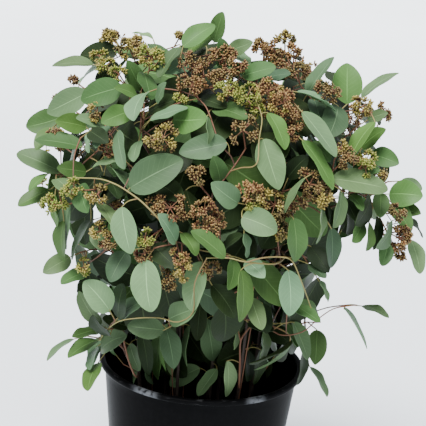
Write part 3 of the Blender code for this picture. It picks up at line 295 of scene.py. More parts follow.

# The leaves that show at the front: where the blade's base and tip lie and how wide it looks, in
# view units, its tone, where a dark tone is painted shade and one lighter tint painted light, how far
# behind the dome it lies in millimetres, and whether it hangs in the bucket's mouth instead
FRONT_LEAVES = [FrontLeaf(*row) for row in (
    # upper left
    ((93, 65), (52, 66), 10, "sage", 4), ((118, 50), (80, 56), 22, "dark", 14),
    ((122, 87), (81, 100), 27, "mid", -2), ((88, 92), (47, 113), 26, "sage", 12),
    ((62, 117), (26, 127), 25, "mid", 20), ((86, 127), (55, 121), 20, "bright", 28),
    ((82, 147), (35, 140), 16, "mid", 6), ((130, 111), (101, 123), 21, "bright", 2),
    ((104, 125), (76, 118), 12, "sage", 14), ((146, 93), (134, 121), 16, "pale", -4),
    ((137, 97), (114, 88), 11, "mid", 12), ((118, 131), (125, 169), 13, "sage", 4),
    ((139, 141), (134, 162), 12, "sage", 14), ((91, 129), (89, 153), 6, "pale", 14),
    # top
    ((214, 42), (223, 12), 16, "mid", 6), ((183, 47), (215, 25), 19, "bright", -34),
    ((228, 50), (253, 42), 16, "sage", 10), ((223, 72), (220, 38), 16, "mid", 20),
    ((228, 52), (249, 67), 10, "sage", 14), ((180, 47), (159, 78), 12, "blue", 0),
    ((189, 65), (165, 74), 16, "pale", 10), ((144, 73), (151, 100), 17, "mid", 14),
    ((141, 90), (127, 60), 18, "mid", 22), ((157, 103), (166, 82), 8, "sage", 8),
    ((150, 120), (188, 108), 9, "sage", 0), ((173, 120), (207, 119), 28, "bright", 4),
    ((213, 109), (247, 119), 16, "mid", 12), ((207, 116), (208, 144), 6, "sage", -4),
    ((148, 113), (178, 100), 14, "dark", 18), ((243, 76), (276, 67), 17, "mid", 2),
    ((266, 78), (291, 74), 11, "blue", 12), ((268, 113), (285, 150), 15, "bright", -2),
    ((227, 143), (179, 153), 25, "blue", 16), ((200, 99), (226, 108), 15, "dark", 30),
    ((153, 39), (132, 33), 3, "pale", 4),
    # upper right
    ((308, 93), (334, 57), 12, "sage", 0), ((347, 104), (347, 63), 30, "bright", 0),
    ((362, 98), (399, 73), 9, "sage", 4), ((338, 106), (328, 138), 27, "blue", 14),
    ((302, 112), (336, 157), 16, "pale", -4), ((375, 122), (351, 158), 14, "bright", 0),
    ((362, 148), (386, 129), 15, "bright", 12), ((368, 120), (388, 113), 12, "sage", 20),
    ((371, 154), (399, 164), 20, "mid", 10), ((302, 140), (333, 190), 13, "bright", 0),
    ((312, 142), (330, 162), 16, "mid", 16), ((332, 179), (388, 189), 23, "sage", -4),
    ((297, 92), (336, 112), 3, "pale", 4),
    # right
    ((341, 191), (333, 228), 12, "sage", 2), ((350, 195), (363, 211), 10, "mid", 10),
    ((370, 197), (355, 225), 14, "dark", 14), ((345, 198), (357, 222), 14, "dark", 28),
    ((363, 221), (352, 242), 13, "mid", 20), ((381, 193), (380, 218), 17, "mid", 12),
    ((389, 194), (423, 196), 27, "bright", 4), ((391, 205), (421, 214), 16, "mid", 14),
    ((401, 181), (422, 190), 13, "sage", 24), ((369, 222), (366, 251), 8, "mid", 6),
    ((378, 217), (373, 250), 10, "dark", 16), ((392, 222), (376, 248), 10, "sage", 8),
    ((388, 243), (382, 266), 15, "mid", 10), ((400, 223), (406, 246), 7, "mid", 16),
    ((411, 240), (420, 274), 15, "pale", 6), ((407, 217), (423, 238), 4, "dark", 14),
    # middle right
    ((293, 218), (295, 262), 20, "mid", 0), ((321, 207), (316, 244), 5, "sage", 2),
    ((331, 228), (331, 268), 15, "blue", 14), ((310, 246), (329, 273), 20, "dark", 18),
    ((309, 264), (326, 278), 11, "blue", 24), ((319, 281), (328, 302), 5, "sage", 10),
    ((305, 178), (285, 213), 6, "sage", -4), ((288, 178), (308, 156), 18, "dark", 22),
    # centre
    ((130, 188), (183, 160), 35, "blue", 6), ((263, 139), (279, 190), 28, "sage", 4),
    ((238, 203), (211, 183), 24, "sage", 2), ((220, 181), (213, 156), 18, "mid", 14),
    ((242, 217), (277, 232), 28, "sage", 0), ((176, 242), (158, 214), 16, "pale", 0),
    ((182, 233), (196, 256), 13, "mid", 14), ((225, 258), (191, 231), 17, "mid", 2),
    ((223, 252), (243, 235), 9, "dark", 12), ((244, 233), (247, 258), 7, "sage", 4),
    ((246, 261), (265, 278), 18, "pale", 2), ((264, 245), (280, 290), 36, "blue", 16),
    ((233, 258), (228, 290), 15, "mid", 10), ((241, 270), (240, 322), 16, "bright", -2),
    ((203, 262), (191, 312), 23, "pale", -2), ((146, 260), (151, 312), 30, "pale", -2),
    ((169, 319), (197, 308), 24, "sage", 6), ((153, 245), (178, 268), 22, "dark", 20),
    ((186, 190), (193, 228), 14, "dark", 24), ((158, 185), (183, 201), 22, "dark", 30),
    ((212, 285), (235, 318), 22, "dark", 16), ((252, 262), (288, 305), 30, "mid", 26),
    ((288, 270), (290, 316), 25, "pale", -2), ((251, 298), (262, 330), 18, "sage", 6),
    # left
    ((60, 172), (17, 153), 21, "sage", 0), ((47, 174), (29, 192), 8, "bright", 14),
    ((49, 190), (18, 206), 15, "mid", 10), ((86, 172), (57, 168), 18, "mid", 16),
    ((125, 161), (92, 168), 7, "sage", -2), ((112, 168), (131, 192), 11, "sage", 10),
    ((56, 179), (75, 198), 16, "sage", 24), ((80, 185), (88, 213), 20, "mid", 12),
    ((71, 197), (72, 256), 14, "pale", 0), ((64, 221), (65, 262), 12, "mid", 12),
    ((70, 257), (43, 273), 19, "sage", 4), ((91, 220), (72, 260), 7, "dark", 10),
    ((97, 221), (101, 250), 17, "sage", 20), ((98, 203), (113, 227), 14, "sage", 12),
    ((122, 207), (131, 254), 25, "pale", -2), ((126, 252), (110, 282), 22, "blue", 12),
    ((55, 195), (57, 227), 6, "bright", 14), ((104, 176), (118, 199), 14, "dark", 26),
    # lower left
    ((110, 311), (84, 281), 27, "pale", 0), ((89, 272), (61, 284), 13, "mid", 10),
    ((100, 325), (79, 291), 15, "sage", 14), ((118, 318), (124, 284), 17, "dark", 18),
    ((118, 318), (146, 300), 15, "sage", 10), ((100, 329), (72, 337), 11, "mid", 6),
    ((74, 339), (47, 361), 6, "sage", 8), ((97, 340), (68, 358), 13, "mid", 2),
    ((101, 350), (127, 336), 19, "blue", 14), ((96, 348), (90, 370), 9, "sage", 8),
    ((98, 363), (88, 391), 15, "bright", 0), ((164, 330), (127, 326), 22, "blue", 12),
    # the bucket's mouth
    ((130, 344), (140, 371), 13, "blue", 14, True), ((145, 351), (133, 386), 6, "pale", 4, True),
    ((168, 324), (166, 371), 6, "bright", -4, True), ((175, 326), (172, 376), 14, "sage", 20, True),
    ((161, 334), (158, 380), 12, "mid", 30, True), ((190, 326), (187, 366), 5, "sage", 4, True),
    ((200, 368), (169, 386), 19, "pale", 0, True), ((217, 369), (198, 396), 13, "pale", 6, True),
    # the first leaf below takes a lighter tint as painted light, for it lies in shade
    ((227, 361), (226, 397), 12, "frost", -2, True), ((248, 350), (247, 382), 11, "dark", 26, True),
    ((264, 329), (260, 362), 8, "sage", 6, True), ((268, 330), (291, 344), 19, "dark", 14, True),
    ((290, 344), (254, 370), 3, "sage", 0, True), ((233, 320), (234, 350), 6, "sage", 2, True),
    ((209, 300), (224, 340), 3, "pale", -4, True),
    # lower right
    ((293, 322), (308, 360), 14, "sage", 0), ((317, 330), (315, 365), 20, "mid", 6),
    ((303, 350), (297, 385), 8, "dark", 2), ((310, 367), (327, 397), 7, "sage", 4),
    ((362, 306), (389, 318), 8, "sage", 4), ((344, 308), (367, 349), 3, "sage", 4),
    ((319, 319), (296, 304), 13, "mid", 16),
)]

# The heads of gum nuts that show at the front: the middle and how far the head reaches from it, in
# view units, its tone, and how far behind the dome it lies in millimetres
FRONT_NUTS = [FrontNuts(*row) for row in (
    ((114, 37), 9, "orange"), ((129, 47), 12, "gold"), ((150, 57), 13, "lime"),
    ((180, 36), 5, "gold"), ((193, 63), 11, "brown"), ((191, 86), 11, "red"),
    ((213, 60), 10, "red", 8), ((235, 68), 10, "red"), ((228, 92), 11, "lime", 2),
    ((246, 98), 13, "lime"), ((268, 91), 13, "orange", 0), ((283, 103), 13, "orange", 0),
    ((285, 38), 9, "gold"), ((275, 52), 8, "red"), ((294, 52), 8, "red"), ((298, 71), 9, "brown"),
    ((328, 92), 11, "brown"), ((361, 107), 11, "gold"), ((290, 131), 10, "red", 10),
    ((163, 138), 15, "gold", 0), ((243, 130), 14, "brown"), ((347, 158), 10, "brown"),
    ((367, 160), 8, "lime"), ((380, 175), 6, "gold", 10), ((98, 194), 9, "gold"),
    ((112, 210), 8, "red", 20), ((170, 208), 13, "red", 12), ((204, 210), 11, "red", 16),
    ((207, 227), 10, "orange", 14), ((250, 191), 10, "orange", 12), ((251, 204), 9, "lime", 10),
    ((275, 205), 12, "olive", 14), ((280, 230), 8, "olive", 20), ((310, 184), 12, "brown", 4),
    ((322, 197), 9, "gold", 4), ((296, 205), 9, "brown", 12), ((100, 231), 8, "gold", 8),
    ((109, 242), 8, "brown", 12), ((73, 189), 9, "lime", 2), ((55, 205), 10, "lime", 4),
    ((183, 270), 9, "gold", 10), ((145, 240), 8, "lime", 14), ((143, 254), 7, "red", 16),
    ((397, 222), 9, "brown", 0), ((400, 238), 10, "red", 0), ((398, 253), 8, "brown", 2),
    ((73, 80), 5, "plum"), ((106, 66), 7, "lime"), ((119, 74), 7, "lime", 6),
    ((84, 267), 6, "lime", 8), ((97, 112), 7, "gold", 10), ((104, 157), 7, "gold", 12),
    ((181, 100), 5, "lime", 10), ((55, 135), 6, "plum", 16),
)]

# The bare twigs that show at the front, from the root outwards, in view units; how old they look,
# from 0, bark, to 1, yellow-green; how thick they are as a share of a twig, and how far behind the
# dome they run in millimetres
FRONT_TWIGS = [FrontTwig(*row) for row in (
    (((156, 216), (142, 202), (127, 191), (115, 184), (100, 179), (82, 178), (68, 178)), 0.85),
    (((246, 262), (228, 258), (206, 258)), 0.85),
    (((246, 262), (262, 258), (280, 257), (292, 261), (300, 278), (306, 294), (311, 308)), 0.85),
    (((178, 322), (160, 318), (140, 318), (120, 321), (108, 329), (100, 340)), 0.85),
    (((302, 332), (318, 319), (333, 309), (348, 306), (357, 305)), 0.45, 0.8),
    (((220, 240), (219, 215), (211, 199), (200, 185), (190, 170)), 0.2, 1.5, 40),
    (((222, 182), (235, 165), (246, 148)), 0.25, 1.2, 26),
    (((218, 140), (213, 125), (206, 107), (195, 96)), 0.25, 1.1, 16),
    (((258, 160), (259, 140), (262, 119), (257, 103), (250, 92)), 0.85, 0.9, -4),
    (((239, 385), (240, 362), (241, 340), (251, 326)), 0.55, 1.4, 0, True),
    (((241, 340), (236, 322)), 0.7, 1.0, 0, True),
    (((134, 374), (129, 362), (125, 346), (121, 328)), 0.4, 1.2, -6, True),
)]

draw = random.Random(SEED)
view_forward = Vector((0.0, math.cos(LOOK_DOWN), -math.sin(LOOK_DOWN)))
view_up = Vector((0.0, math.sin(LOOK_DOWN), math.cos(LOOK_DOWN)))
view_right = Vector((1.0, 0.0, 0.0))


def sight(place):
    """The direction from the eye through a place in the view."""
    across = place[0] - VIEW_MIDDLE
    down = place[1] - VIEW_MIDDLE
    turned_across = across * math.cos(VIEW_ROLL) + down * math.sin(VIEW_ROLL)
    turned_down = down * math.cos(VIEW_ROLL) - across * math.sin(VIEW_ROLL)
    level = view_forward + view_right * turned_across / VIEW_FOCAL
    return (level - view_up * turned_down / VIEW_FOCAL).normalized()


def dome_distance(way):
    """How far along a sight line the dome begins, or comes closest."""
    start = Vector([(EYE[k] - DOME_CENTRE[k]) / DOME_REACH[k] for k in range(3)])
    run = Vector([way[k] / DOME_REACH[k] for k in range(3)])
    square = run.dot(run)
    half = start.dot(run)
    inside = half * half - square * (start.dot(start) - 1)
    return (-half - math.sqrt(max(inside, 0))) / square


def view_distance(place, mouth):
    """How far from the eye the foliage's front lies at a place in the view."""
    way = sight(place)
    if mouth:
        return (MOUTH_FRONT - EYE.y) / way.y
    return dome_distance(way)


def from_view(place, behind, mouth):
    """The point in space that shows at a place in the view."""
    return EYE + sight(place) * (view_distance(place, mouth) + behind)


def outwards(point):
    """The direction in which the dome's surface faces at a point."""
    away = Vector([(point[k] - DOME_CENTRE[k]) / DOME_REACH[k] ** 2 for k in range(3)])
    return away.normalized()


def sideways(way):
    """Two directions square to a way and to each other."""
    helper = Vector((0, 0, 1)) if abs(way.z) < 0.9 else Vector((1, 0, 0))
    first = way.cross(helper).normalized()
    return first, way.cross(first).normalized()


def around(first, second, turn):
    """A direction between two that are square to each other."""
    return first * math.cos(turn) + second * math.sin(turn)


def flat_way(turn, rise=0.0):
    return Vector((math.cos(turn), math.sin(turn), rise))


def raised(way, rise):
    return (way + Vector((0, 0, rise))).normalized()


def tube(points, radii, sides, first_side=None):
    """A closed tube with flat sides; its rings are turned along the path without twist."""
    corners = []
    faces = []
    side = first_side
    for ring, point in enumerate(points):
        before = points[max(ring - 1, 0)]
        after = points[min(ring + 1, len(points) - 1)]
        way = (after - before).normalized()
        if side is None:
            side = sideways(way)[0]
        side = (side - way * side.dot(way)).normalized()
        other = way.cross(side)
        for step in range(sides):
            corners.append(point + around(side, other, 2 * math.pi * step / sides) * radii[ring])
    for ring in range(len(points) - 1):
        low = ring * sides
        for step in range(sides):
            following = (step + 1) % sides
            faces.append((low + step, low + following, low + sides + following))
            faces.append((low + step, low + sides + following, low + sides + step))
    top = (len(points) - 1) * sides
    for step in range(1, sides - 1):
        faces.append((0, step + 1, step))
        faces.append((top, top + step, top + step + 1))
    return corners, faces


WIDEST_AT = 0.42
BEYOND_WIDEST = 0.58


def half_width(along, foot=0.55, tip=0.55):
    """A eucalyptus blade's half width along its length, as a share of its widest half width."""
    if along < WIDEST_AT:
        return max(0, 1 - ((WIDEST_AT - along) / WIDEST_AT) ** 2) ** foot
    return max(0, 1 - ((along - WIDEST_AT) / BEYOND_WIDEST) ** 2) ** tip


def blade_point(leaf, along, across):
    """A point of the blade's middle surface: camber along it, and both halves folded upwards."""
    half = leaf.width / 2 * half_width(along)
    lift = leaf.camber * 4 * along * (1 - along) * leaf.length + leaf.fold * abs(across) * half
    return leaf.base + leaf.axis * along * leaf.length + leaf.side * across * half + leaf.face * lift


RIM_PLACES = (0.12, 0.38, 0.68, 0.91)
PLAIN_RIM_PLACES = (0.15, 0.46, 0.84)
BLADE_ROOT = 0.004
HEAD_ROOT = 0.002
MOST_NUTS = 7
FEWEST_NUTS = 5
WIDE_HEAD = 0.0135
HUB_RADIUS = 0.0012
HUB_DEPTH = 0.45
STALK_RADIUS = 0.0009
ROOT_RADIUS = 0.0003
NUT_RADIUS = 0.0019


class Leaf:
    """A leaf's place: its blade's base, tip, width and the way its upper face looks."""

    def __init__(self, base, tip, width, face, tone, rim=RIM_PLACES):
        self.base = base
        self.rim = rim
        self.tip = tip
        self.width = width
        self.tone = tone
        self.length = (tip - base).length
        self.axis = (tip - base).normalized()
        self.face = (face - self.axis * face.dot(self.axis)).normalized()
        self.side = self.face.cross(self.axis)
        self.camber = draw.uniform(0.03, 0.08)
        self.fold = draw.uniform(0.10, 0.28)
        self.path = []

    def moved(self, shift):
        self.base = self.base + shift
        self.tip = self.tip + shift

    def anchor(self):
        return self.base

    def back(self):
        return -self.axis


def blade_body(leaf):
    """The plain blade with its root, larger by the room that is kept free all round."""
    foot = leaf.base - leaf.axis * BLADE_ROOT
    way = (leaf.base - foot).normalized()
    side = -leaf.side * 0.87 + leaf.face * 0.5
    corners = []
    for spot, radius in ((leaf.base, PETIOLE_RADIUS), (foot, ROOT_RADIUS)):
        side = (side - way * side.dot(way)).normalized()
        arms = [Matrix.Rotation(turn, 3, way) @ side for turn in (0, -THIRD_TURN, THIRD_TURN)]
        side = arms[0]
        corners = [spot + arm * (radius + ROOM) for arm in arms] + corners
    faces = [(0, 1, 2)]
    for step in range(3):
        following = (step + 1) % 3
        faces.append((step, 3 + following, following))
        faces.append((step, 3 + step, 3 + following))
    left, right, under = 3, 4, 5
    start = len(corners)
    wide = 1 + ROOM * 60
    corners.extend(blade_point(leaf, along, -wide) for along in leaf.rim)
    corners.append(blade_point(leaf, 1.0, 0))
    corners.extend(blade_point(leaf, along, wide) for along in reversed(leaf.rim))
    centre = blade_point(leaf, 0.45, 0)
    corners.append(centre + leaf.face * (MIDRIB_THICKNESS / 2 + ROOM))
    corners.append(centre - leaf.face * (MIDRIB_THICKNESS / 2 + ROOM))
    upper, lower = len(corners) - 2, len(corners) - 1
    rim = [left] + list(range(start, start + 2 * len(leaf.rim) + 1)) + [right]
    for first, second in zip(rim[:-1], rim[1:]):
        faces.append((first, upper, second))
        faces.append((second, lower, first))
    faces.append((right, upper, left))
    faces.append((under, lower, right))
    faces.append((left, lower, under))
    return corners, faces


class Head:
    """A head of gum nuts: five or seven nuts round one point, which its own stalk reaches."""

    def __init__(self, middle, reach, way, tone):
        self.middle = middle
        self.way = way
        self.tone = tone
        self.turn = draw.uniform(0, 2.09)
        nuts = MOST_NUTS if reach > WIDE_HEAD else FEWEST_NUTS
        self.lengths = [reach * draw.uniform(0.82, 1.08) for _ in range(nuts)]
        self.path = []

    def moved(self, shift):
        self.middle = self.middle + shift

    def anchor(self):
        return self.middle - self.way * HUB_RADIUS * HUB_DEPTH

    def back(self):
        return -self.way


def head_body(head):
    """The plain nuts, which grow out of the faces of a three-sided hub, with the room they need."""
    first, second = sideways(head.way)
    arms = [around(first, second, head.turn + math.pi * step / 3) for step in range(6)]
    radius = HUB_RADIUS + ROOM
    depth = head.way * radius * HUB_DEPTH
    near = [head.middle - depth + arms[step] * radius for step in (0, 2, 4)]
    far = [head.middle + depth + arms[step] * radius for step in (1, 3, 5)]
    corners = near + far
    hub = [(3, 4, 5)]
    for step in range(3):
        hub.append((3 + step, (step + 1) % 3, 3 + (step + 1) % 3))
    for step in range(3):
        hub.append((step, (step + 1) % 3, 3 + step))
    faces = hub[len(head.lengths):]
    for face, length in zip(hub, head.lengths):
        middle = (corners[face[0]] + corners[face[1]] + corners[face[2]]) / 3
        way = (middle - head.middle).normalized()
        ring = len(corners)
        for index in face:
            arm = corners[index] - head.middle
            arm = (arm - way * arm.dot(way)).normalized()
            corners.append(head.middle + way * length * 0.72 + arm * (NUT_RADIUS + ROOM))
        corners.append(head.middle + way * (length + ROOM))
        for step in range(3):
            following = (step + 1) % 3
            faces.append((face[step], face[following], ring + following))
            faces.append((face[step], ring + following, ring + step))
            faces.append((ring + step, ring + following, ring + 3))
    foot = head.anchor() - head.way * HEAD_ROOT
    way = (head.anchor() - foot).normalized()
    side = (arms[0] - way * arms[0].dot(way)).normalized()
    ring = len(corners)
    for turn in (0, THIRD_TURN, 2 * THIRD_TURN):
        corners.append(foot + (Matrix.Rotation(turn, 3, way) @ side) * (ROOT_RADIUS + ROOM))
    for step in range(3):
        following = (step + 1) % 3
        faces.append((ring + step, ring + following, following))
        faces.append((ring + step, following, step))
    faces.append((ring, ring + 2, ring + 1))
    return corners, faces


class Room:
    """What is already placed, so that nothing new crosses it."""

    def __init__(self):
        self.lows = np.zeros((0, 3))
        self.highs = np.zeros((0, 3))
        self.trees = []
        self.owners = []

    def add(self, corners, faces, owner):
        spots = np.array(corners)
        self.lows = np.vstack([self.lows, spots.min(axis=0)])
        self.highs = np.vstack([self.highs, spots.max(axis=0)])
        self.trees.append(BVHTree.FromPolygons(corners, faces))
        self.owners.append(owner)

    def crossed(self, corners, faces, passed):
        """Whether a body crosses a placed one, apart from those whose owner is passed over."""
        spots = np.array(corners)
        near = np.all(self.lows <= spots.max(axis=0), axis=1)
        near &= np.all(self.highs >= spots.min(axis=0), axis=1)
        tree = None
        for index in np.nonzero(near)[0]:
            if self.owners[index] in passed:
                continue
            if tree is None:
                tree = BVHTree.FromPolygons(corners, faces)
            if tree.overlap(self.trees[index]):
                return True
        return False


class Wood:
    """Every point from which a further stalk can grow."""

    def __init__(self):
        self.points = []
        self.ways = []
        self.runs = []
        self.stems = []
        self.radii = []
        self.used = []

    def add(self, points, radii, stem, run, skipped):
        """Adds a branch's points, three to a straight piece, but not the first ones."""
        for index in range(len(points) - 1):
            way = (points[index + 1] - points[index]).normalized()
            last = index == len(points) - 2
            for share in (0.0, 0.34, 0.67, 1.0) if last else (0.0, 0.34, 0.67):
                point = points[index].lerp(points[index + 1], share)
                if (point - points[0]).length < skipped:
                    continue
                self.points.append(point)
                self.ways.append(way)
                self.runs.append(run + (point - points[0]).length)
                self.stems.append(stem)
                self.radii.append(radii[index] + (radii[index + 1] - radii[index]) * share)
                self.used.append(0)


def bent(start, start_way, end, end_way, count):
    """Points of a curve that leaves one way and arrives another."""
    reach = (end - start).length
    first = start + start_way * reach * 0.36
    second = end - end_way * reach * 0.36
    points = []
    for index in range(count):
        t = index / (count - 1)
        s = 1 - t
        points.append(start * s ** 3 + first * 3 * s * s * t + second * 3 * s * t * t + end * t ** 3)
    return points


room = Room()
wood = Wood()
branches = [[] for _ in range(STEMS)]
carried = [[] for _ in range(STEMS)]


# The bucket takes its room first, with the plain profile of the CAD
LATHE_STEPS = 40
LIP_ROUND = 0.0025


def bucket_profile():
    return [
        (0.0, 0.0),
        (BASE_RADIUS - 0.002, 0.0),
        (BASE_RADIUS, 0.002),
        (wall_radius(LIP_BOTTOM), LIP_BOTTOM),
        (LIP_RADIUS - 0.001, LIP_BOTTOM),
        (LIP_RADIUS, LIP_BOTTOM + 0.0012),
        (LIP_RADIUS, BUCKET_HEIGHT - LIP_ROUND),
        (LIP_RADIUS - 0.0012, BUCKET_HEIGHT - 0.0006),
        (LIP_RADIUS - LIP_ROUND - 0.001, BUCKET_HEIGHT),
        (MOUTH_RADIUS + 0.002, BUCKET_HEIGHT),
        (MOUTH_RADIUS, BUCKET_HEIGHT - 0.0018),
        (wall_radius(FLOOR_THICKNESS) - WALL, FLOOR_THICKNESS),
        (0.0, FLOOR_THICKNESS),
    ]


room.add(*turned_body(bucket_profile(), LATHE_STEPS), "bucket")


def stem_points(number):
    """A main stem: from its foot on the bucket's floor straight to the mouth, then outwards."""
    share = math.sqrt((number + 0.5) / STEMS)
    across = flat_way(number * GOLDEN_TURN + FIRST_TURN)
    foot = across * share * FOOT_SPREAD + Vector((0, 0, FLOOR_THICKNESS + CLEARANCE))
    mouth = across * share * MOUTH_SPREAD + Vector((0, 0, BUCKET_HEIGHT))
    lean = share * WIDEST_LEAN
    aim = across * math.sin(lean) + Vector((0, 0, math.cos(lean)))
    reach = STEM_REACH * draw.uniform(0.92, 1.06)
    end = DOME_CENTRE + Vector([aim[k] * DOME_REACH[k] * reach for k in range(3)])
    rising = (mouth - foot).normalized()
    leaving = raised(aim, 0.45 - share * 0.5)
    low = [foot, foot.lerp(mouth, 0.36), foot.lerp(mouth, 0.74)]
    return low + bent(mouth, rising, end, leaving, 6)


for number in range(STEMS):
    points = stem_points(number)
    count = len(points)
    radii = [FOOT_RADIUS + (STEM_TIP_RADIUS - FOOT_RADIUS) * k / (count - 1) for k in range(count)]
    side = flat_way(number * GOLDEN_TURN + FIRST_TURN)
    room.add(*tube(points, radii, 4, side), ("wood", number))
    branches[number].append((points, radii, 0.0))
    wood.add(points[2:], radii[2:], number, 0.3, 0.03)


# The bare twigs of the front, each grown from the point of the wood that reaches it best
LONGEST_STALK = 0.042
TWIG_AGE = 0.42
ROOT_SUNK = 0.0012
BARE_RUN = 0.010
BEND_COST = 0.9
ARRIVAL_COST = 0.7
RUN_COST = 0.22
USED_COST = 0.012
LOAD_COST = 0.0012
CLOSE = 0.012
TRIES = 26


def cost(anchor, back, points, ways, runs):
    """How dear it is to reach an anchor from each point of the wood."""
    gap = np.array(anchor) - points
    far = np.linalg.norm(gap, axis=1)
    unit = gap / np.maximum(far, 1e-6)[:, None]
    along = (unit * ways).sum(axis=1)
    arriving = unit @ -np.array(back)
    bend = BEND_COST * np.clip(0.25 - along, 0, 2)
    price = far * (1 + bend + ARRIVAL_COST * np.clip(0.2 - arriving, 0, 2))
    price += RUN_COST * runs + 0.4 * np.clip(CLOSE - far, 0, 1)
    return price + 0.12 * np.clip(-0.15 - arriving, 0, 1)


for reading in FRONT_TWIGS:
    points = [from_view(place, reading.behind / 1000, reading.mouth) for place in reading.points]
    thick = TWIG_RADIUS * reading.thick
    spots = np.array([list(point) for point in wood.points])
    ways = np.array([list(way) for way in wood.ways])
    back = (points[0] - points[1]).normalized()
    price = cost(points[0], back, spots, ways, np.array(wood.runs))
    for host in np.argsort(price, kind="stable")[:160:3]:
        host = int(host)
        stem = wood.stems[host]
        gap = (points[0] - wood.points[host]).normalized()
        start = wood.points[host] - wood.ways[host] * ROOT_SUNK
        lead = [start]
        if (points[0] - start).length > 0.006:
            leaving = (gap + wood.ways[host]).normalized()
            lead = bent(start, leaving, points[0], -back, 4)[:-1] + points[:1]
        path = lead + points[1:]
        root = min(thick * 1.2, wood.radii[host] * 0.95)
        radii = [root + (thick * 0.75 - root) * k / (len(path) - 1) for k in range(len(path))]
        corners, faces = tube(path, [radius + ROOM for radius in radii], 3)
        if room.crossed(corners, faces, (("wood", stem),)):
            continue
        room.add(*tube(path, radii, 3), ("wood", stem))
        branches[stem].append((path, radii, reading.age))
        wood.add(path, radii, stem, wood.runs[host], BARE_RUN)
        break


# The front leaves and heads, each moved along its sight line to the first free depth
DEPTHS = (0, 5, -4, 10, 15, -8, 20, 25, 30, 36, 42, -12, 50, -17, 60, -24, 75)
SHORTEST_BLADE = 0.050
STEEPEST = 0.3
WIDEST_HEAD = 0.015


def front_leaf(reading):
    """A leaf turned and tilted so that it shows as it was read."""
    behind = reading.behind / 1000
    near = view_distance(reading.base, reading.mouth)
    far = view_distance(reading.tip, reading.mouth)
    gap = math.dist(reading.base, reading.tip) * near / VIEW_FOCAL
    slope = max(-STEEPEST * gap, min(STEEPEST * gap, far - near)) / 2
    if gap < SHORTEST_BLADE and reading.wide > 7:
        slope -= min(math.sqrt(SHORTEST_BLADE ** 2 - gap ** 2), 0.8 * gap) / 2
    middle = (near + far) / 2 + behind
    base = EYE + sight(reading.base) * (middle - slope)
    tip = EYE + sight(reading.tip) * (middle + slope)
    to_eye = (EYE - (base + tip) / 2).normalized()
    seen_width = reading.wide * middle / VIEW_FOCAL
    length = (tip - base).length
    width = max(seen_width * 1.03, length * 0.56)
    axis = (tip - base).normalized()
    face = (to_eye - axis * to_eye.dot(axis)).normalized()
    roll = math.acos(min(1, seen_width / width))
    up = outwards((base + tip) / 2) * 0.6 + Vector((0, 0, 0.8))
    choices = [Matrix.Rotation(turn, 3, axis) @ face for turn in (roll, -roll)]
    face = max(choices, key=lambda way: way.dot(up))
    rim = RIM_PLACES if length > 0.055 and reading.wide > 12 else PLAIN_RIM_PLACES
    return Leaf(base, tip, width, face, reading.tone, rim)


def front_head(reading, reach=None):
    """A head that shows as it was read; its plain nuts reach as far, or as said."""
    middle = from_view(reading.middle, reading.behind / 1000, False)
    spread = reading.reach * (EYE - middle).length / VIEW_FOCAL
    way = raised(outwards(middle), 0.35)
    head = Head(middle, reach or min(WIDEST_HEAD, spread), way, reading.tone)
    head.spread = spread
    return head


def settle(item, way, depths, taken):
    """Moves an item along a way until it crosses nothing, and takes it; or leaves it out."""
    moved = 0
    for depth in depths:
        item.moved(way * (depth / 1000 - moved))
        moved = depth / 1000
        corners, faces = blade_body(item) if isinstance(item, Leaf) else head_body(item)
        if not room.crossed(corners, faces, ()):
            room.add(corners, faces, item)
            taken.append(item)
            return


items = []
for reading in FRONT_LEAVES:
    settle(front_leaf(reading), sight(reading.base), DEPTHS, items)
for reading in FRONT_NUTS:
    settle(front_head(reading), sight(reading.middle), DEPTHS, items)


# The leaves and heads of the sides, back and inside, spread evenly over the dome in three layers,
# all within the outline that the foliage shows at the front
VIEW_OUTLINE = (
    (111, 32), (150, 46), (185, 38), (215, 26), (223, 14), (227, 40), (256, 42), (284, 32),
    (300, 38), (303, 62), (332, 58), (336, 74), (348, 64), (362, 76), (376, 86), (396, 76),
    (386, 100), (388, 128), (380, 150), (398, 162), (396, 180), (422, 190), (422, 214),
    (410, 225), (420, 250), (420, 272), (400, 260), (384, 264), (376, 246), (354, 248),
    (340, 244), (332, 270), (326, 300), (306, 320), (306, 352), (292, 366), (252, 394),
    (150, 388), (106, 362), (92, 372), (72, 354), (76, 338), (84, 318), (74, 286), (46, 274),
    (62, 260), (66, 226), (46, 214), (20, 204), (32, 180), (19, 154), (52, 164), (38, 140),
    (58, 134), (28, 126), (48, 112), (54, 90), (74, 80), (54, 66), (78, 58), (92, 48),
)
FILL_LAYERS = ((96, 1.0), (72, 0.76), (44, 0.5))
LOW_LEAVES = 34
FILL_HEADS = 22
SHIFTS = (0, -6, 6, -12, 12, -20)


def seen_at(point):
    """Where a point shows in the view."""
    gap = point - EYE
    depth = gap.dot(view_forward)
    across = gap.dot(view_right) / depth * VIEW_FOCAL
    down = -gap.dot(view_up) / depth * VIEW_FOCAL
    unrolled_across = across * math.cos(VIEW_ROLL) - down * math.sin(VIEW_ROLL)
    unrolled_down = across * math.sin(VIEW_ROLL) + down * math.cos(VIEW_ROLL)
    return unrolled_across + VIEW_MIDDLE, unrolled_down + VIEW_MIDDLE


def within_outline(point):
    """Whether a point shows within the outline of the foliage."""
    across, down = seen_at(point)
    inside = False
    for (x0, y0), (x1, y1) in zip(VIEW_OUTLINE, VIEW_OUTLINE[1:] + VIEW_OUTLINE[:1]):
        if (y0 > down) != (y1 > down) and across < x0 + (down - y0) / (y1 - y0) * (x1 - x0):
            inside = not inside
    return inside


def spread_way(index, count):
    """One of many directions that are spread evenly all round."""
    height = 1 - 2 * (index + 0.5) / count
    turn = index * GOLDEN_TURN
    flat = math.sqrt(1 - height * height)
    return Vector((flat * math.cos(turn), flat * math.sin(turn), height))


def dome_point(way, layer):
    return DOME_CENTRE + Vector([way[k] * DOME_REACH[k] * layer for k in range(3)])


